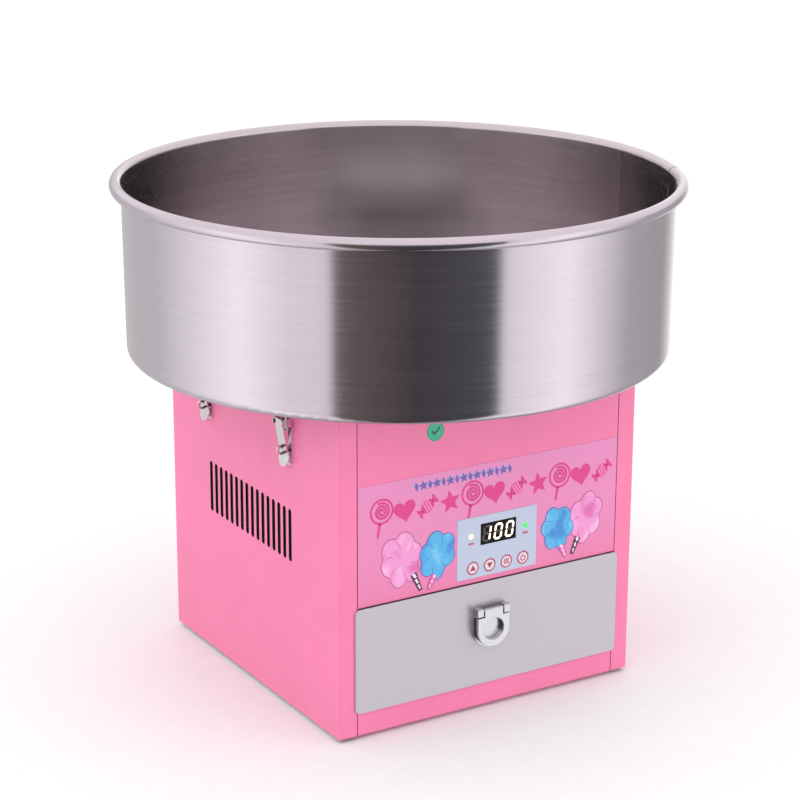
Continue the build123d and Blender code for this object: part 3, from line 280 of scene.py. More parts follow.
def enamel(name, colour, roughness=(0.34, 0.42)):
    """Powder coat: faint mottling and orange peel, with painted shade on the side vents' slot walls, which
    are coloured near black.
    """
    material, g, shader = new_material(name)
    coords = g.scaled(1, 1, 1)
    mottle = g.noise(coords, 22, 3, 0.55)
    peel = g.noise(coords, 1100, 2, 0.5)
    coat = g.ramp(mottle, [(0.3, scaled_colour(colour, 0.965)), (0.7, scaled_colour(colour, 1.03))])
    geometry = g.add("ShaderNodeNewGeometry")
    facing = g.add("ShaderNodeSeparateXYZ")
    g.link(geometry.outputs["Normal"], facing.inputs[0])
    spot = g.add("ShaderNodeSeparateXYZ")
    g.link(coords, spot.inputs[0])
    height = g.math("COMPARE", spot.outputs[2], (VENT_LOW + VENT_HIGH) / 2, (VENT_HIGH - VENT_LOW) / 2)
    depth = g.math("COMPARE", spot.outputs[1], 0.0, VENT_REACH)
    sideways = g.math("LESS_THAN", g.math("ABSOLUTE", facing.outputs[0]), 0.6)
    # Painted shade: sideways-facing slot walls inside the vent band are coloured near black, in place of the
    # shade in the slots.
    vent_slot_shade = g.math("MULTIPLY", g.math("MULTIPLY", height, depth), sideways)
    g.link(g.mix(vent_slot_shade, coat, rgba(0.012, 0.006, 0.008)), shader.inputs["Base Color"])
    g.link(g.grey_ramp(mottle, [(0.3, roughness[0]), (0.7, roughness[1])]), shader.inputs["Roughness"])
    g.link(g.bump(peel, 0.25, 0.00006), shader.inputs["Normal"])
    return material


def surface(name, dark, light, roughness, scale, bump=0.00003, metallic=0.0, glow=0.0):
    """A finish that varies between two colours, with its own grain and roughness."""
    material, g, shader = new_material(name)
    coords = g.scaled(1, 1, 1)
    cloud = g.noise(coords, scale, 3.0, 0.6)
    grain = g.noise(coords, scale * 9, 3, 0.6)
    colour = g.ramp(cloud, [(0.32, dark[:3]), (0.68, light[:3])])
    g.link(colour, shader.inputs["Base Color"])
    g.link(g.grey_ramp(cloud, [(0.3, roughness[0]), (0.7, roughness[1])]), shader.inputs["Roughness"])
    g.link(g.bump(grain, 0.4, bump), shader.inputs["Normal"])
    shader.inputs["Metallic"].default_value = metallic
    if glow:
        g.link(colour, shader.inputs["Emission Color"])
        shader.inputs["Emission Strength"].default_value = glow
    return material


def tinted(name, colour, spread, roughness, scale, **more):
    """A surface whose colour wanders a little round one value."""
    dark, light = scaled_colour(colour, 1 - spread), scaled_colour(colour, 1 + spread)
    return surface(name, dark, light, roughness, scale, **more)


def galvanised(name):
    """Zinc spangle: angular flakes of slightly different tone."""
    material, g, shader = new_material(name)
    flakes = g.add("ShaderNodeTexVoronoi")
    flakes.inputs["Scale"].default_value = 180
    g.link(g.scaled(1, 1, 1), flakes.inputs["Vector"])
    tone = g.add("ShaderNodeSeparateColor")
    g.link(flakes.outputs["Color"], tone.inputs[0])
    g.link(g.grey_ramp(tone.outputs[0], [(0.0, 0.42), (1.0, 0.56)]), shader.inputs["Base Color"])
    g.link(g.grey_ramp(tone.outputs[1], [(0.0, 0.32), (1.0, 0.5)]), shader.inputs["Roughness"])
    g.link(g.bump(tone.outputs[2], 0.2, 0.00002), shader.inputs["Normal"])
    shader.inputs["Metallic"].default_value = 1.0
    return material


def by_place(name, axis, edges, colours, roughness, glow=0.0):
    """A finish whose colour steps at given places along one axis, in metres."""
    material, g, shader = new_material(name)
    coords = g.add("ShaderNodeTexCoord")
    parts = g.add("ShaderNodeSeparateXYZ")
    g.link(coords.outputs["Object"], parts.inputs[0])
    place = parts.outputs[axis]
    grain = g.noise(g.scaled(1, 1, 1), 700, 3)
    colour = colours[0]
    for edge, following in zip(edges, colours[1:]):
        colour = g.mix(g.math("GREATER_THAN", place, edge), colour, following)
    shade = g.mix(g.grey_ramp(grain, [(0.3, 0.0), (0.7, 0.25)]), colour, rgba(0, 0, 0), "MIX")
    g.link(shade, shader.inputs["Base Color"])
    g.link(g.grey_ramp(grain, [(0.3, roughness[0]), (0.7, roughness[1])]), shader.inputs["Roughness"])
    if glow:
        g.link(colour, shader.inputs["Emission Color"])
        shader.inputs["Emission Strength"].default_value = glow
    return material


def decal_film():
    """The printed film: lilac pink above, warmer towards the drawer, with a faint print grain."""
    material, g, shader = new_material("decal_film")
    coords = g.add("ShaderNodeTexCoord")
    parts = g.add("ShaderNodeSeparateXYZ")
    g.link(coords.outputs["Object"], parts.inputs[0])
    low, high = (corner.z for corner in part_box("graphic_overlay"))
    rise = g.math("MULTIPLY_ADD", parts.outputs[2], 1 / (high - low), -low / (high - low))
    grain = g.noise(g.scaled(1, 1, 1), 1400, 2)
    base = g.ramp(rise, [(0.0, srgb(236, 122, 168)[:3]), (0.07, srgb(234, 128, 176)[:3]),
                         (0.35, srgb(234, 136, 186)[:3]), (1.0, srgb(234, 142, 196)[:3])])
    speck = g.grey_ramp(grain, [(0.3, 0.0), (0.7, 0.12)])
    g.link(g.mix(speck, base, srgb(250, 178, 214)), shader.inputs["Base Color"])
    g.link(g.grey_ramp(grain, [(0.3, 0.3), (0.7, 0.38)]), shader.inputs["Roughness"])
    g.link(g.bump(grain, 0.1, 0.00002), shader.inputs["Normal"])
    return material


def bowl_finish():
    """The bowl's steel: brush lines round it, and one tone outside and another inside.

    What faces the axis from more than 0.12 m away counts as the inside.
    """
    material, g, shader = new_material("bowl_finish")
    around = g.scaled(7, 7, 2600)
    fine = g.noise(around, 1.0, 4, 0.7)
    coarse = g.noise(g.scaled(1.2, 1.2, 260), 1.0, 2, 0.6)
    cloud = g.noise(g.scaled(1, 1, 1), 9, 3, 0.6)
    both = g.math("MULTIPLY_ADD", fine, 0.65, g.math("MULTIPLY", coarse, 0.35))
    tone = g.math("MULTIPLY_ADD", cloud, 0.25, g.math("MULTIPLY", both, 0.75))
    geometry = g.add("ShaderNodeNewGeometry")
    coords = g.add("ShaderNodeTexCoord")
    inward = g.add("ShaderNodeVectorMath", operation="DOT_PRODUCT")
    g.link(geometry.outputs["Normal"], inward.inputs[0])
    g.link(coords.outputs["Object"], inward.inputs[1])
    height = g.add("ShaderNodeSeparateXYZ")
    g.link(coords.outputs["Object"], height.inputs[0])
    flat = g.add("ShaderNodeSeparateXYZ")
    g.link(geometry.outputs["Normal"], flat.inputs[0])
    level = g.math("MULTIPLY", height.outputs[2], flat.outputs[2])
    side = g.math("SUBTRACT", inward.outputs[1], level)
    inside = g.math("LESS_THAN", side, -0.12)
    outside_tone = g.ramp(tone, [(0.34, (0.60, 0.535, 0.59)), (0.66, (0.68, 0.615, 0.67))])
    inside_tone = g.ramp(tone, [(0.34, (0.57, 0.52, 0.54)), (0.66, (0.68, 0.63, 0.645))])
    g.link(g.mix(inside, outside_tone, inside_tone), shader.inputs["Base Color"])
    g.link(g.grey_ramp(tone, [(0.34, 0.15), (0.66, 0.22)]), shader.inputs["Roughness"])
    shader.inputs["Metallic"].default_value = 1.0
    shader.inputs["Anisotropic"].default_value = 0.8
    shader.inputs["Anisotropic Rotation"].default_value = 0.25
    tangent = g.add("ShaderNodeTangent", direction_type="RADIAL", axis="Z")
    g.link(tangent.outputs[0], shader.inputs["Tangent"])
    g.link(g.bump(both, 0.35, 0.00001), shader.inputs["Normal"])
    return material


def give(material, *nodes):
    """Puts one material on whole CAD nodes."""
    for name in nodes:
        slots = NODES[name].data.materials
        for i in range(len(slots)):
            slots[i] = material
        if not len(slots):
            slots.append(material)


def starting(*words):
    return [name for name in NODES if name.startswith(words)]


def dress_cad():
    pink = srgb(248, 130, 176)
    give(enamel("pink_enamel", pink), "left_side_panel", "right_side_panel", "rear_panel", "front_panel")
    give(bowl_finish(), "bowl_pan", "bowl_wall", "bowl_rim")
    satin = brushed_steel("drawer_steel", (0.56, 0.515, 0.56), (0.3, 0.36), (8, 3600, 3600), 0.4, 0.000004,
                          spread=0.045)
    satin.node_tree.nodes["Principled BSDF"].inputs["Metallic"].default_value = 0.55
    give(satin, "drawer_front")
    give(galvanised("zinc_sheet"), "base_tray", "top_plate", "equipment_shelf", "drawer_runners",
         "drawer_box", "motor_plate", "shaft_shroud")
    latch = brushed_steel("latch_plate", (0.88, 0.84, 0.86), (0.1, 0.18), (900, 900, 60), 0.3, 0.000006)
    give(latch, "latch_bases", "bowl_catches", *starting("latch_lever"))
    give(brushed_steel("bail_wire", (0.7, 0.68, 0.68), (0.12, 0.2), (1500, 1500, 90), 0.2),
         *starting("latch_bail"))
    give(brushed_steel("fastener_zinc", (0.6, 0.59, 0.57), (0.2, 0.34), (700, 700, 700), 0.0),
         "cabinet_fasteners", "catch_rivets", "standoffs", "head_screws")
    give(brushed_steel("pull_chrome", (0.60, 0.595, 0.635), (0.05, 0.1), (60, 900, 900), 0.1, 0.000002,
                       spread=0.03), "handle_ring", "handle_pin")
    give(brushed_steel("pull_satin", (0.62, 0.63, 0.65), (0.2, 0.34), (900, 900, 900), 0.0, 0.00001,
                       spread=0.08), "handle_backplate")
    give(brushed_steel("turned_steel", (0.55, 0.55, 0.56), (0.2, 0.32), (6, 6, 2400), 0.5, radial=True),
         "motor_shaft", "shaft_bearings", "motor_rotor")
    give(brushed_steel("cast_aluminium", (0.72, 0.71, 0.70), (0.28, 0.42), (14, 14, 900), 0.5, radial=True),
         "head_pan", "head_lid")
    give(surface("heat_tinted_band", (0.30, 0.24, 0.20), (0.55, 0.50, 0.44), (0.3, 0.45), 60, metallic=1.0),
         "mesh_band")
    give(surface("oxidised_ribbon", (0.12, 0.09, 0.08), (0.32, 0.26, 0.22), (0.45, 0.65), 140, metallic=1.0),
         "heating_element")
    give(brushed_steel("slip_brass", (0.72, 0.52, 0.24), (0.2, 0.3), (6, 6, 2400), 0.5, radial=True),
         "slip_rings")
    give(tinted("motor_paint", (0.035, 0.04, 0.045), 0.25, (0.42, 0.55), 90, bump=0.00008), "motor_housing")
    give(tinted("carbon_block", (0.03, 0.03, 0.032), 0.3, (0.5, 0.7), 300), "carbon_brushes")
    give(tinted("phenolic", (0.26, 0.13, 0.05), 0.2, (0.4, 0.55), 160), "brush_holders", "slip_ring_hub")
    give(tinted("fan_moulding", (0.72, 0.70, 0.64), 0.05, (0.42, 0.52), 120), "motor_fan")
    give(tinted("foot_rubber", (0.025, 0.025, 0.026), 0.25, (0.6, 0.8), 240, bump=0.00008), "rubber_feet")
    give(decal_film(), "graphic_overlay")
    give(tinted("keypad_film", srgb(193, 202, 225), 0.025, (0.34, 0.42), 400, bump=0.00001), "keypad_overlay")
    give(tinted("key_dome", srgb(222, 222, 238), 0.02, (0.3, 0.38), 500, bump=0.00001), *starting("button_"))
    smoke = tinted("display_smoke", (0.004, 0.004, 0.005), 0.3, (0.2, 0.3), 300, bump=0.000004)
    smoke.node_tree.nodes["Principled BSDF"].inputs["Specular IOR Level"].default_value = 0.12
    give(smoke, "display_module")
    give(by_place("lamp_lens", 0, (0.008,), (srgb(255, 226, 196), srgb(60, 232, 90)), (0.2, 0.3), 0.75),
         "indicator_leds")
    give(surface("solder_mask", (0.008, 0.09, 0.035), (0.02, 0.17, 0.07), (0.25, 0.4), 700, bump=0.00005),
         "control_board", "power_board")
    give(tinted("black_moulding", (0.02, 0.02, 0.021), 0.2, (0.34, 0.46), 900, bump=0.00004), "power_inlet",
         "rocker_frame", "power_rocker")
    give(by_place("wire_sleeves", 0, (0.045, 0.08),
                  (rgba(0.5, 0.03, 0.02), rgba(0.02, 0.02, 0.02), rgba(0.03, 0.07, 0.4)),
                  (0.38, 0.5)), "wiring_harness")


# ---- drawn and added pieces ----------------------------------------------------------------------
MM = 0.001
FILM_STEP = 0.00006


def shown(name, verts, faces, material, body, smooth=False):
    """A mesh piece that rides on a body."""
    mesh = bpy.data.meshes.new(name)
    mesh.from_pydata(verts, [], faces)
    mesh.validate()
    mesh.update()
    mesh.materials.append(material)
    if smooth:
        mesh.polygons.foreach_set("use_smooth", [True] * len(mesh.polygons))
    piece = bpy.data.objects.new(name, mesh)
    bpy.context.scene.collection.objects.link(piece)
    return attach(piece, body)


def area(outline):
    return sum(x0 * z1 - x1 * z0 for (x0, z0), (x1, z1) in zip(outline, outline[1:] + outline[:1])) / 2


def print_piece(name, outlines, face_y, level, material, body="cabinet"):
    """Flat printed shapes on a surface that faces the front: closed (x, z) outlines in millimetres."""
    front = face_y - FILM_STEP * level
    back = front + FILM_STEP * 0.8
    verts, faces = [], []
    for outline in outlines:
        ring = outline if area(outline) > 0 else outline[::-1]
        first, count = len(verts), len(ring)
        verts += [(x * MM, front, z * MM) for x, z in ring] + [(x * MM, back, z * MM) for x, z in ring]
        faces.append(tuple(range(first, first + count)))
        faces += [(first + i, first + count + i, first + count + (i + 1) % count, first + (i + 1) % count)
                  for i in range(count)]
    return shown(name, verts, faces, material, body)


def circle(x, z, radius, steps=48):
    turns = [2 * pi * i / steps for i in range(steps)]
    return [(x + radius * cos(a), z + radius * sin(a)) for a in turns]


def annulus(x, z, outer, inner, start=0.0, sweep=360.0, steps=56):
    """A ring, or a part of one, as a single outline."""
    turns = [radians(start + sweep * i / steps) for i in range(steps + 1)]
    far = [(x + outer * cos(a), z + outer * sin(a)) for a in turns]
    near = [(x + inner * cos(a), z + inner * sin(a)) for a in reversed(turns)]
    return far + near


def stroke(points, widths):
    """The outline of a line of changing width."""
    left, right = [], []
    for i, (x, z) in enumerate(points):
        x0, z0 = points[max(0, i - 1)]
        x1, z1 = points[min(len(points) - 1, i + 1)]
        length = hypot(x1 - x0, z1 - z0)
        nx, nz = -(z1 - z0) / length, (x1 - x0) / length
        half = widths[i] / 2
        left.append((x + nx * half, z + nz * half))
        right.append((x - nx * half, z - nz * half))
    return left + right[::-1]


def placed(outline, x, z, scale=1.0, turn=0.0, flip=1):
    """An outline scaled, mirrored, turned and moved."""
    c, s = cos(radians(turn)), sin(radians(turn))
    moved = [(flip * px * scale, pz * scale) for px, pz in outline]
    return [(x + px * c - pz * s, z + px * s + pz * c) for px, pz in moved]


def lollipop(x, z, scale, turn):
    """A round spiral sweet on a stick, as outlines."""
    spiral = []
    for i in range(72):
        angle = radians(860 * i / 71)
        radius = 0.9 + 6.1 * i / 71
        spiral.append((radius * cos(angle), radius * sin(angle)))
    bands = [stroke(spiral[i:i + 3], [2.0] * 3) for i in range(0, 70, 2)]
    stick = [(-1.3, -9.6), (1.3, -9.6), (1.0, -20.5), (-1.0, -20.5)]
    return [placed(shape, x, z, scale, turn) for shape in [*bands, annulus(0, 0, 10.2, 8.5), stick]]


def wrapped_sweet(x, z, scale, turn):
    """A sweet in a twisted wrapper, as outlines."""
    body = [(7.2 * cos(2 * pi * i / 40), 6.2 * sin(2 * pi * i / 40)) for i in range(40)]
    twist = ((6.4, 0.9), (10.4, 5.6), (11.8, 2.2), (10.6, 0), (11.8, -2.2), (10.4, -5.6), (6.4, -0.9))
    wings = [[(side * px, pz) for px, pz in twist] for side in (-1, 1)]
    return [placed(shape, x, z, scale, turn) for shape in [body, *wings]]


def heart_shape():
    points = []
    for i in range(48):
        t = 2 * pi * i / 48
        rise = 13 * cos(t) - 5 * cos(2 * t) - 2 * cos(3 * t) - cos(4 * t)
        points.append((0.6 * 16 * sin(t) ** 3, 0.6 * rise))
    return points


def star_shape():
    return [((9.6 if i % 2 == 0 else 4.4) * sin(pi * i / 5), (9.6 if i % 2 == 0 else 4.4) * cos(pi * i / 5))
            for i in range(10)]


PUFF_LOBES = ((0.0, 0.0, 0.7), (-0.34, 0.5, 0.46), (0.3, 0.54, 0.44), (-0.6, 0.02, 0.4), (0.58, 0.06, 0.4),
              (-0.36, -0.5, 0.4), (0.3, -0.54, 0.38))


def lobe_reach(angle, turn):
    """How far the furthest lobe reaches from the puff's centre in one direction."""
    ux, uz = cos(angle), sin(angle)
    best = 0.0
    for cx, cz, radius in PUFF_LOBES:
        tx, tz = cx * cos(turn) - cz * sin(turn), cx * sin(turn) + cz * cos(turn)
        along, across = ux * tx + uz * tz, ux * tz - uz * tx
        if abs(across) < radius:
            best = max(best, along + (radius * radius - across * across) ** 0.5)
    return best


def puff_point(x, z, half_w, half_h, lean, u, v):
    """A place in the puff's own unit square, drawn in towards the stick."""
    narrow = 1 - 0.14 * max(0, -v)
    return (x + half_w * u * narrow + lean * half_h * v, z + half_h * v)


def puff_shape(x, z, half_w, half_h, lean, turn, grow=0.0):
    """The outline of a spun-sugar puff: round lobes, drawn in towards its stick."""
    count = 180
    reach = [lobe_reach(2 * pi * i / count, turn) for i in range(count)]
    smooth = [(reach[i - 2] + reach[i - 1] + reach[i] + reach[(i + 1) % count] + reach[(i + 2) % count]) / 5
              for i in range(count)]
    points = []
    for i, r in enumerate(smooth):
        a = 2 * pi * i / count
        px, pz = puff_point(x, z, half_w, half_h, lean, r * cos(a), r * sin(a))
        points.append((px + grow * cos(a), pz + grow * sin(a)))
    return points


def puff_folds(x, z, half_w, half_h, lean, turn):
    """Short arcs where the lobes press into each other."""
    folds = []
    for cx, cz, radius in PUFF_LOBES[1:]:
        tx, tz = cx * cos(turn) - cz * sin(turn), cx * sin(turn) + cz * cos(turn)
        inward = atan2(-tz, -tx)
        sweep = [inward + radians(34 + 5.6 * i) for i in range(16)]
        bend = radius * 0.86
        arc = [puff_point(x, z, half_w, half_h, lean, tx + bend * cos(a), tz + bend * sin(a)) for a in sweep]
        folds.append(stroke(arc, [0.2 + 0.75 * sin(pi * i / 15) for i in range(16)]))
    return folds


def puff_material(name, light, middle, deep):
    """Soft folds of colour across a drawn puff."""
    material, g, shader = new_material(name)
    folds = g.noise(g.scaled(1, 1, 0.8), 62, 1.2, 0.4)
    fluff = g.noise(g.scaled(1, 1, 1), 420, 3, 0.6)
    soft = g.math("MULTIPLY_ADD", folds, 0.88, g.math("MULTIPLY", fluff, 0.12))
    g.link(g.ramp(soft, [(0.34, deep[:3]), (0.44, middle[:3]), (0.55, middle[:3]), (0.66, light[:3])]),
           shader.inputs["Base Color"])
    g.link(g.grey_ramp(fluff, [(0.3, 0.32), (0.7, 0.4)]), shader.inputs["Roughness"])
    return material


def ink(name, colour, glow=0.0):
    """Screen-print ink with a faint dot grain."""
    return tinted(name, colour, 0.06, (0.32, 0.42), 900, bump=0.000004, glow=glow)


def draw_title(face):
    """A generic row of sweets, hearts and stars in place of any wording."""
    outlines, stripes = [], []
    for i in range(11):
        x, z = -112.5 + 23.2 * i, 204.0
        kind = i % 4
        if kind == 0:
            outlines += lollipop(x, z + 4.6, 1.16, -10)
        elif kind == 1:
            outlines.append(placed(heart_shape(), x, z + 1.5, 1.16, 8))
        elif kind == 2:
            outlines += wrapped_sweet(x, z + 1.0, 0.98, 38)
            bars = [[(d - 0.7, -6.4), (d + 0.7, -6.4), (d + 2.3, 6.4), (d + 0.9, 6.4)]
                    for d in (-3.6, -0.6, 2.4)]
            stripes += [placed(bar, x, z + 1.0, 0.86, 38) for bar in bars]
        else:
            outlines.append(placed(star_shape(), x, z + 1.0, 1.14, 8))
    print_piece("ornament_band", outlines, face, 1, ink("magenta_ink", srgb(226, 62, 140)))
    print_piece("ornament_stripes", stripes, face, 2, ink("lilac_ink", srgb(243, 150, 200)))
    shadow, marks = [], []
    for i in range(15):
        x, z = -77.5 + 6.9 * i, 224.6
        shape = star_shape() if i % 2 else [(0, 8.6), (4.2, 0), (0, -8.6), (-4.2, 0)]
        marks.append(placed(shape, x, z, 0.5, 8))
        shadow.append(placed(shape, x - 0.8, z + 0.6, 0.5, 8))
    print_piece("spark_row_shadow", shadow, face, 1, ink("pale_blue_ink", srgb(150, 176, 232)))
    print_piece("spark_row", marks, face, 2, ink("violet_ink", srgb(122, 96, 180)))


def draw_puff(name, spot, size, lean, phase, stick, base, colours):
    """One puff on its striped stick: outline, body, folds and cone, from layer base upwards."""
    face = FILM_FACE
    edge, light, middle, deep = colours[:4]
    (x0, z0), (x1, z1) = stick
    cone = stroke([(x0, z0), ((x0 + x1) / 2, (z0 + z1) / 2), (x1, z1)], [6.6, 5.2, 3.6])
    print_piece(f"{name}_cone", [cone], face, 7 + base / 2, ink(f"{name}_cone_ink", colours[4]))
    stripes = []
    for i in range(3):
        t0, t1 = 0.04 + 0.33 * i, 0.2 + 0.33 * i
        a = (x0 + (x1 - x0) * t0, z0 + (z1 - z0) * t0)
        b = (x0 + (x1 - x0) * t1, z0 + (z1 - z0) * t1)
        wide = 2.0 - 0.45 * i
        stripes.append([(a[0] - wide, a[1] + 0.4), (a[0] + wide * 0.4, a[1] + 1.2), (b[0] + wide, b[1]),
                        (b[0] - wide * 0.2, b[1] - 0.9)])
    print_piece(f"{name}_cone_stripes", stripes, face, 8 + base / 2, ink(f"{name}_stripe_ink", colours[5]))
    print_piece(f"{name}_edge", [puff_shape(*spot, *size, lean, phase, 0.7)], face, base + 1,
                ink(f"{name}_edge_ink", edge))
    print_piece(f"{name}_body", [puff_shape(*spot, *size, lean, phase)], face, base + 2,
                puff_material(f"{name}_body_ink", light, middle, deep))
    print_piece(f"{name}_folds", puff_folds(*spot, *size, lean, phase), face, base + 3,
                ink(f"{name}_fold_ink", deep))


def draw_puffs():
    pink = (srgb(170, 52, 120), srgb(250, 184, 228), srgb(243, 156, 212), srgb(228, 112, 184),
            srgb(74, 44, 84), srgb(246, 226, 240))
    blue = (srgb(84, 74, 186), srgb(118, 200, 242), srgb(86, 182, 234), srgb(66, 144, 216),
            srgb(222, 96, 170), srgb(250, 206, 232))
    draw_puff("puff_left_pink", (-92.0, 159.5), (21.5, 25.0), -0.05, 0.25,
              ((-80.5, 145.0), (-72.8, 128.4)), 0, pink)
    draw_puff("puff_left_blue", (-56.0, 157.0), (18.6, 22.0), 0.1, -0.3,
              ((-58.3, 139.8), (-65.2, 127.6)), 3, blue)
    draw_puff("puff_right_pink", (103.5, 162.5), (18.5, 23.5), 0.12, 0.5,
              ((94.6, 145.6), (88.2, 130.4)), 0, pink)
    draw_puff("puff_right_blue", (72.0, 157.5), (17.4, 21.0), -0.03, -0.15,
              ((76.0, 141.4), (81.4, 129.2)), 3, blue)


SEGMENTS = {"top": ((0, 6.6), 0), "middle": ((0, 0), 0), "bottom": ((0, -6.6), 0),
            "left_high": ((-3.3, 3.3), 90), "right_high": ((3.3, 3.3), 90),
            "left_low": ((-3.3, -3.3), 90), "right_low": ((3.3, -3.3), 90)}
LIT = (("right_high", "right_low"),
       ("top", "bottom", "left_high", "right_high", "left_low", "right_low"),
       ("top", "bottom", "left_high", "right_high", "left_low", "right_low"))


def draw_display():
    """Three seven-segment digits behind the window."""
    low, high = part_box("display_module")
    cx, cz = (low.x + high.x) / 2 / MM, (low.z + high.z) / 2 / MM
    bar = [(-3.0, 0), (-2.1, 0.95), (2.1, 0.95), (3.0, 0), (2.1, -0.95), (-2.1, -0.95)]
    lit, unlit = [], []
    for digit, on in enumerate(LIT):
        for name, ((sx, sz), turn) in SEGMENTS.items():
            x = cx + 12.0 * (digit - 1) + sx + 0.14 * sz
            shape = placed(bar, 0, 0, 1.0, turn)
            shape = [(x + px + 0.14 * pz, cz + sz + pz) for px, pz in shape]
            (lit if name in on else unlit).append(shape)
    print_piece("digits_lit", lit, low.y, 1, ink("digit_glow", srgb(255, 232, 200), glow=1.6))
    print_piece("digits_unlit", unlit, low.y, 1, ink("digit_dim", srgb(74, 66, 66)))


def draw_keys():
    """A red ring and a plain symbol on each key, and small marks under the lamps."""
    red = ink("key_red", srgb(196, 40, 52))
    for name in starting("button_"):
        low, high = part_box(name)
        x, z = (low.x + high.x) / 2 / MM, (low.z + high.z) / 2 / MM
        print_piece(f"{name}_ring", [annulus(x, z, 6.05, 4.95)], low.y, 1, red, f"{name}_key")
        if name == "button_up":
            marks = [[(x - 3.1, z - 2.2), (x + 3.1, z - 2.2), (x, z + 3.2)]]
        elif name == "button_down":
            marks = [[(x - 3.1, z + 2.2), (x, z - 3.2), (x + 3.1, z + 2.2)]]
        elif name == "button_heat":
            waves = [[(x + d + 0.55 * sin(k * 1.05), z - 2.6 + 0.58 * k) for k in range(10)]
                     for d in (-2.0, 0, 2.0)]
            marks = [stroke(wave, [1.0] * 10) for wave in waves]
        else:
            bar = [(x - 0.5, z), (x + 0.5, z), (x + 0.5, z + 3.4), (x - 0.5, z + 3.4)]
            marks = [annulus(x, z - 0.3, 2.9, 1.9, 125, 290), bar]
        print_piece(f"{name}_symbol", marks, low.y, 1, red, f"{name}_key")
    low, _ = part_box("keypad_overlay")
    bars = [[(x + d, 160.2), (x + d + 1.5, 160.2), (x + d + 1.5, 162.2), (x + d, 162.2)]
            for x in (-20.8, 36.6) for d in (-2.6, -0.75, 1.1)]
    print_piece("lamp_marks", bars, low.y, 1, red)


def add_sticker():
    """A round check sticker with a plain tick."""
    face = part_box("front_panel")[0].y
    x, z = -58.6, 271.8
    print_piece("check_sticker", [circle(x, z, 8.8, 64)], face, 2, ink("sticker_green", srgb(66, 186, 146)))
    tick = [(x - 4.4, z + 0.2), (x - 3.1, z + 1.5), (x - 1.0, z - 1.1),
            (x + 3.8, z + 4.2), (x + 5.0, z + 3.0), (x - 1.0, z - 3.6)]
    print_piece("check_tick", [tick], face, 3, ink("sticker_dark", srgb(24, 92, 74)))
    print_piece("check_ring", [annulus(x, z, 8.2, 7.7)], face, 3, ink("sticker_line", srgb(38, 140, 108)))


def add_gap_shade():
    """Painted shade: near-black strips set in the gaps beside the front panel and above the drawer's face, in
    place of the shade in those gaps.
    """
    # The near-black colour of the painted gap shade.
    dark = tinted("painted_gap_shade", (0.02, 0.008, 0.011), 0.3, (0.6, 0.8), 500)
    panel_low, panel_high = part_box("front_panel")
    flange_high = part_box("left_side_panel")[1]
    gap0, gap1 = flange_high.x / MM, panel_low.x / MM
    # Painted shade: near-black strips behind the gaps either side of the front panel.
    for name, x0, x1 in (("gap_shade_left", gap0 + 0.03, gap1 - 0.03), ("gap_shade_right", -gap1 + 0.03, -gap0 - 0.03)):
        box_piece(name, (x0, x1), (panel_low.y / MM + 0.15, panel_low.y / MM + 3),
                  (panel_low.z / MM, panel_high.z / MM), dark, "cabinet", 24)
    low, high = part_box("drawer_front")
    # Painted shade: a near-black strip along the top edge of the drawer's face, where the gap to the panel is
    # in shade.
    box_piece("drawer_gap_shade", (low.x / MM + 4, high.x / MM - 4), (low.y / MM + 0.5, high.y / MM),
              (high.z / MM + 0.02, high.z / MM + 0.75), dark, "drawer", 24)


def box_piece(name, xs, ys, zs, material, body, cuts):
    """A strip with rounded long corners, divided along its longest side."""
    spans = [b - a for a, b in (xs, ys, zs)]
    along = spans.index(max(spans))
    across = [i for i in range(3) if i != along]
    ranges = (xs, ys, zs)
    bevel = min(spans[across[0]], spans[across[1]]) * 0.25
    (a0, a1), (b0, b1) = ranges[across[0]], ranges[across[1]]
    loop = [(a0 + bevel, b0), (a1 - bevel, b0), (a1, b0 + bevel), (a1, b1 - bevel),
            (a1 - bevel, b1), (a0 + bevel, b1), (a0, b1 - bevel), (a0, b0 + bevel)]
    verts, faces = [], []
    for k in range(cuts + 1):
        place = ranges[along][0] + spans[along] * k / cuts
        for a, b in loop:
            corner = [0, 0, 0]
            corner[along], corner[across[0]], corner[across[1]] = place * MM, a * MM, b * MM
            verts.append(tuple(corner))
    for k in range(cuts):
        for i in range(8):
            j = (i + 1) % 8
            faces.append((8 * k + i, 8 * k + j, 8 * k + 8 + j, 8 * k + 8 + i))
    faces += [tuple(range(8)), tuple(range(8 * cuts, 8 * cuts + 8))]
    return shown(name, verts, faces, material, body)


def add_filters():
    """Black foam dust filters behind the three vent banks."""
    foam = surface("filter_foam", (0.002, 0.002, 0.002), (0.012, 0.011, 0.012), (0.8, 0.95), 900, bump=0.0004)
    sheet, near, far = 1.2, 0.4, 3.2
    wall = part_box("left_side_panel")[0].x / MM + sheet
    for name, x0, x1 in (("filter_left", wall + near, wall + far),
                         ("filter_right", -wall - far, -wall - near)):
        box_piece(name, (x0, x1), (-78, 85), (139, 196), foam, "cabinet", 30)
    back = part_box("rear_panel")[0].y / MM
    box_piece("filter_rear", (-92, 92), (back - far, back - near), (209, 266), foam, "cabinet", 30)


SEAM_ANGLE = radians(-24.5)


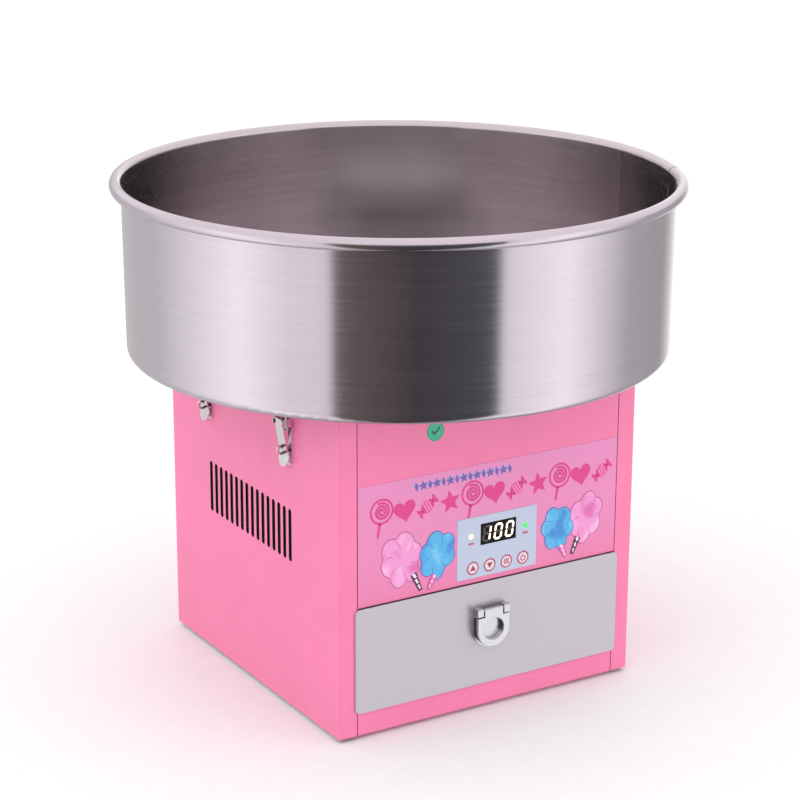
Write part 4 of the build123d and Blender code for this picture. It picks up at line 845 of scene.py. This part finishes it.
def add_bowl_seam():
    """The weld inside the bowl's wall and the butt joint across its rolled rim."""
    weld = surface("weld_tint", (0.16, 0.13, 0.16), (0.42, 0.38, 0.42), (0.3, 0.45), 260,
                   bump=0.0002, metallic=1.0)
    low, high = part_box("bowl_wall")
    top = high.x / MM - 1.45
    verts, faces, steps = [], [], 60
    for k in range(steps + 1):
        z = low.z / MM + (high.z - low.z) / MM * k / steps
        radius = top - 1.2 * (1 - k / steps)
        wide = 1.1 + 0.16 * sin(k * 1.9)
        for d, lift in ((-wide, 0.0), (-wide * 0.5, 0.22), (0, 0.3), (wide * 0.5, 0.22), (wide, 0.0)):
            a = SEAM_ANGLE + d / radius
            verts.append(((radius - lift) * cos(a) * MM, (radius - lift) * sin(a) * MM, z * MM))
    for k in range(steps):
        for i in range(4):
            a = 5 * k + i
            faces.append((a, a + 5, a + 6, a + 1))
    shown("wall_weld", verts, faces, weld, "bowl", smooth=True)
    _, rim_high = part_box("bowl_rim")
    roll, proud, half_line = 5.65, 0.06, 0.6
    centre_r, centre_z = rim_high.x / MM - roll, rim_high.z / MM - roll
    verts = []
    for k in range(41):
        a = radians(190 - 270 * k / 40)
        r, z = centre_r + (roll + proud) * cos(a), centre_z + (roll + proud) * sin(a)
        for d in (-half_line, half_line):
            t = SEAM_ANGLE + d / r
            verts.append((r * cos(t) * MM, r * sin(t) * MM, min(z * MM, rim_high.z)))
    faces = [(2 * k, 2 * k + 1, 2 * k + 3, 2 * k + 2) for k in range(40)]
    dark = tinted("joint_shadow", (0.03, 0.025, 0.03), 0.3, (0.6, 0.8), 700)
    shown("rim_joint", verts, faces, dark, "bowl", smooth=True)


FILM_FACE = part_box("graphic_overlay")[0].y


def add_pieces():
    draw_title(FILM_FACE)
    draw_puffs()
    draw_display()
    draw_keys()
    add_sticker()
    add_gap_shade()
    add_filters()
    add_bowl_seam()


# ---- run -----------------------------------------------------------------------------------------
bpy.context.scene.view_settings.view_transform = "Standard"
make_camera()
make_world()
make_floor()
make_lights()
dress_cad()
add_pieces()
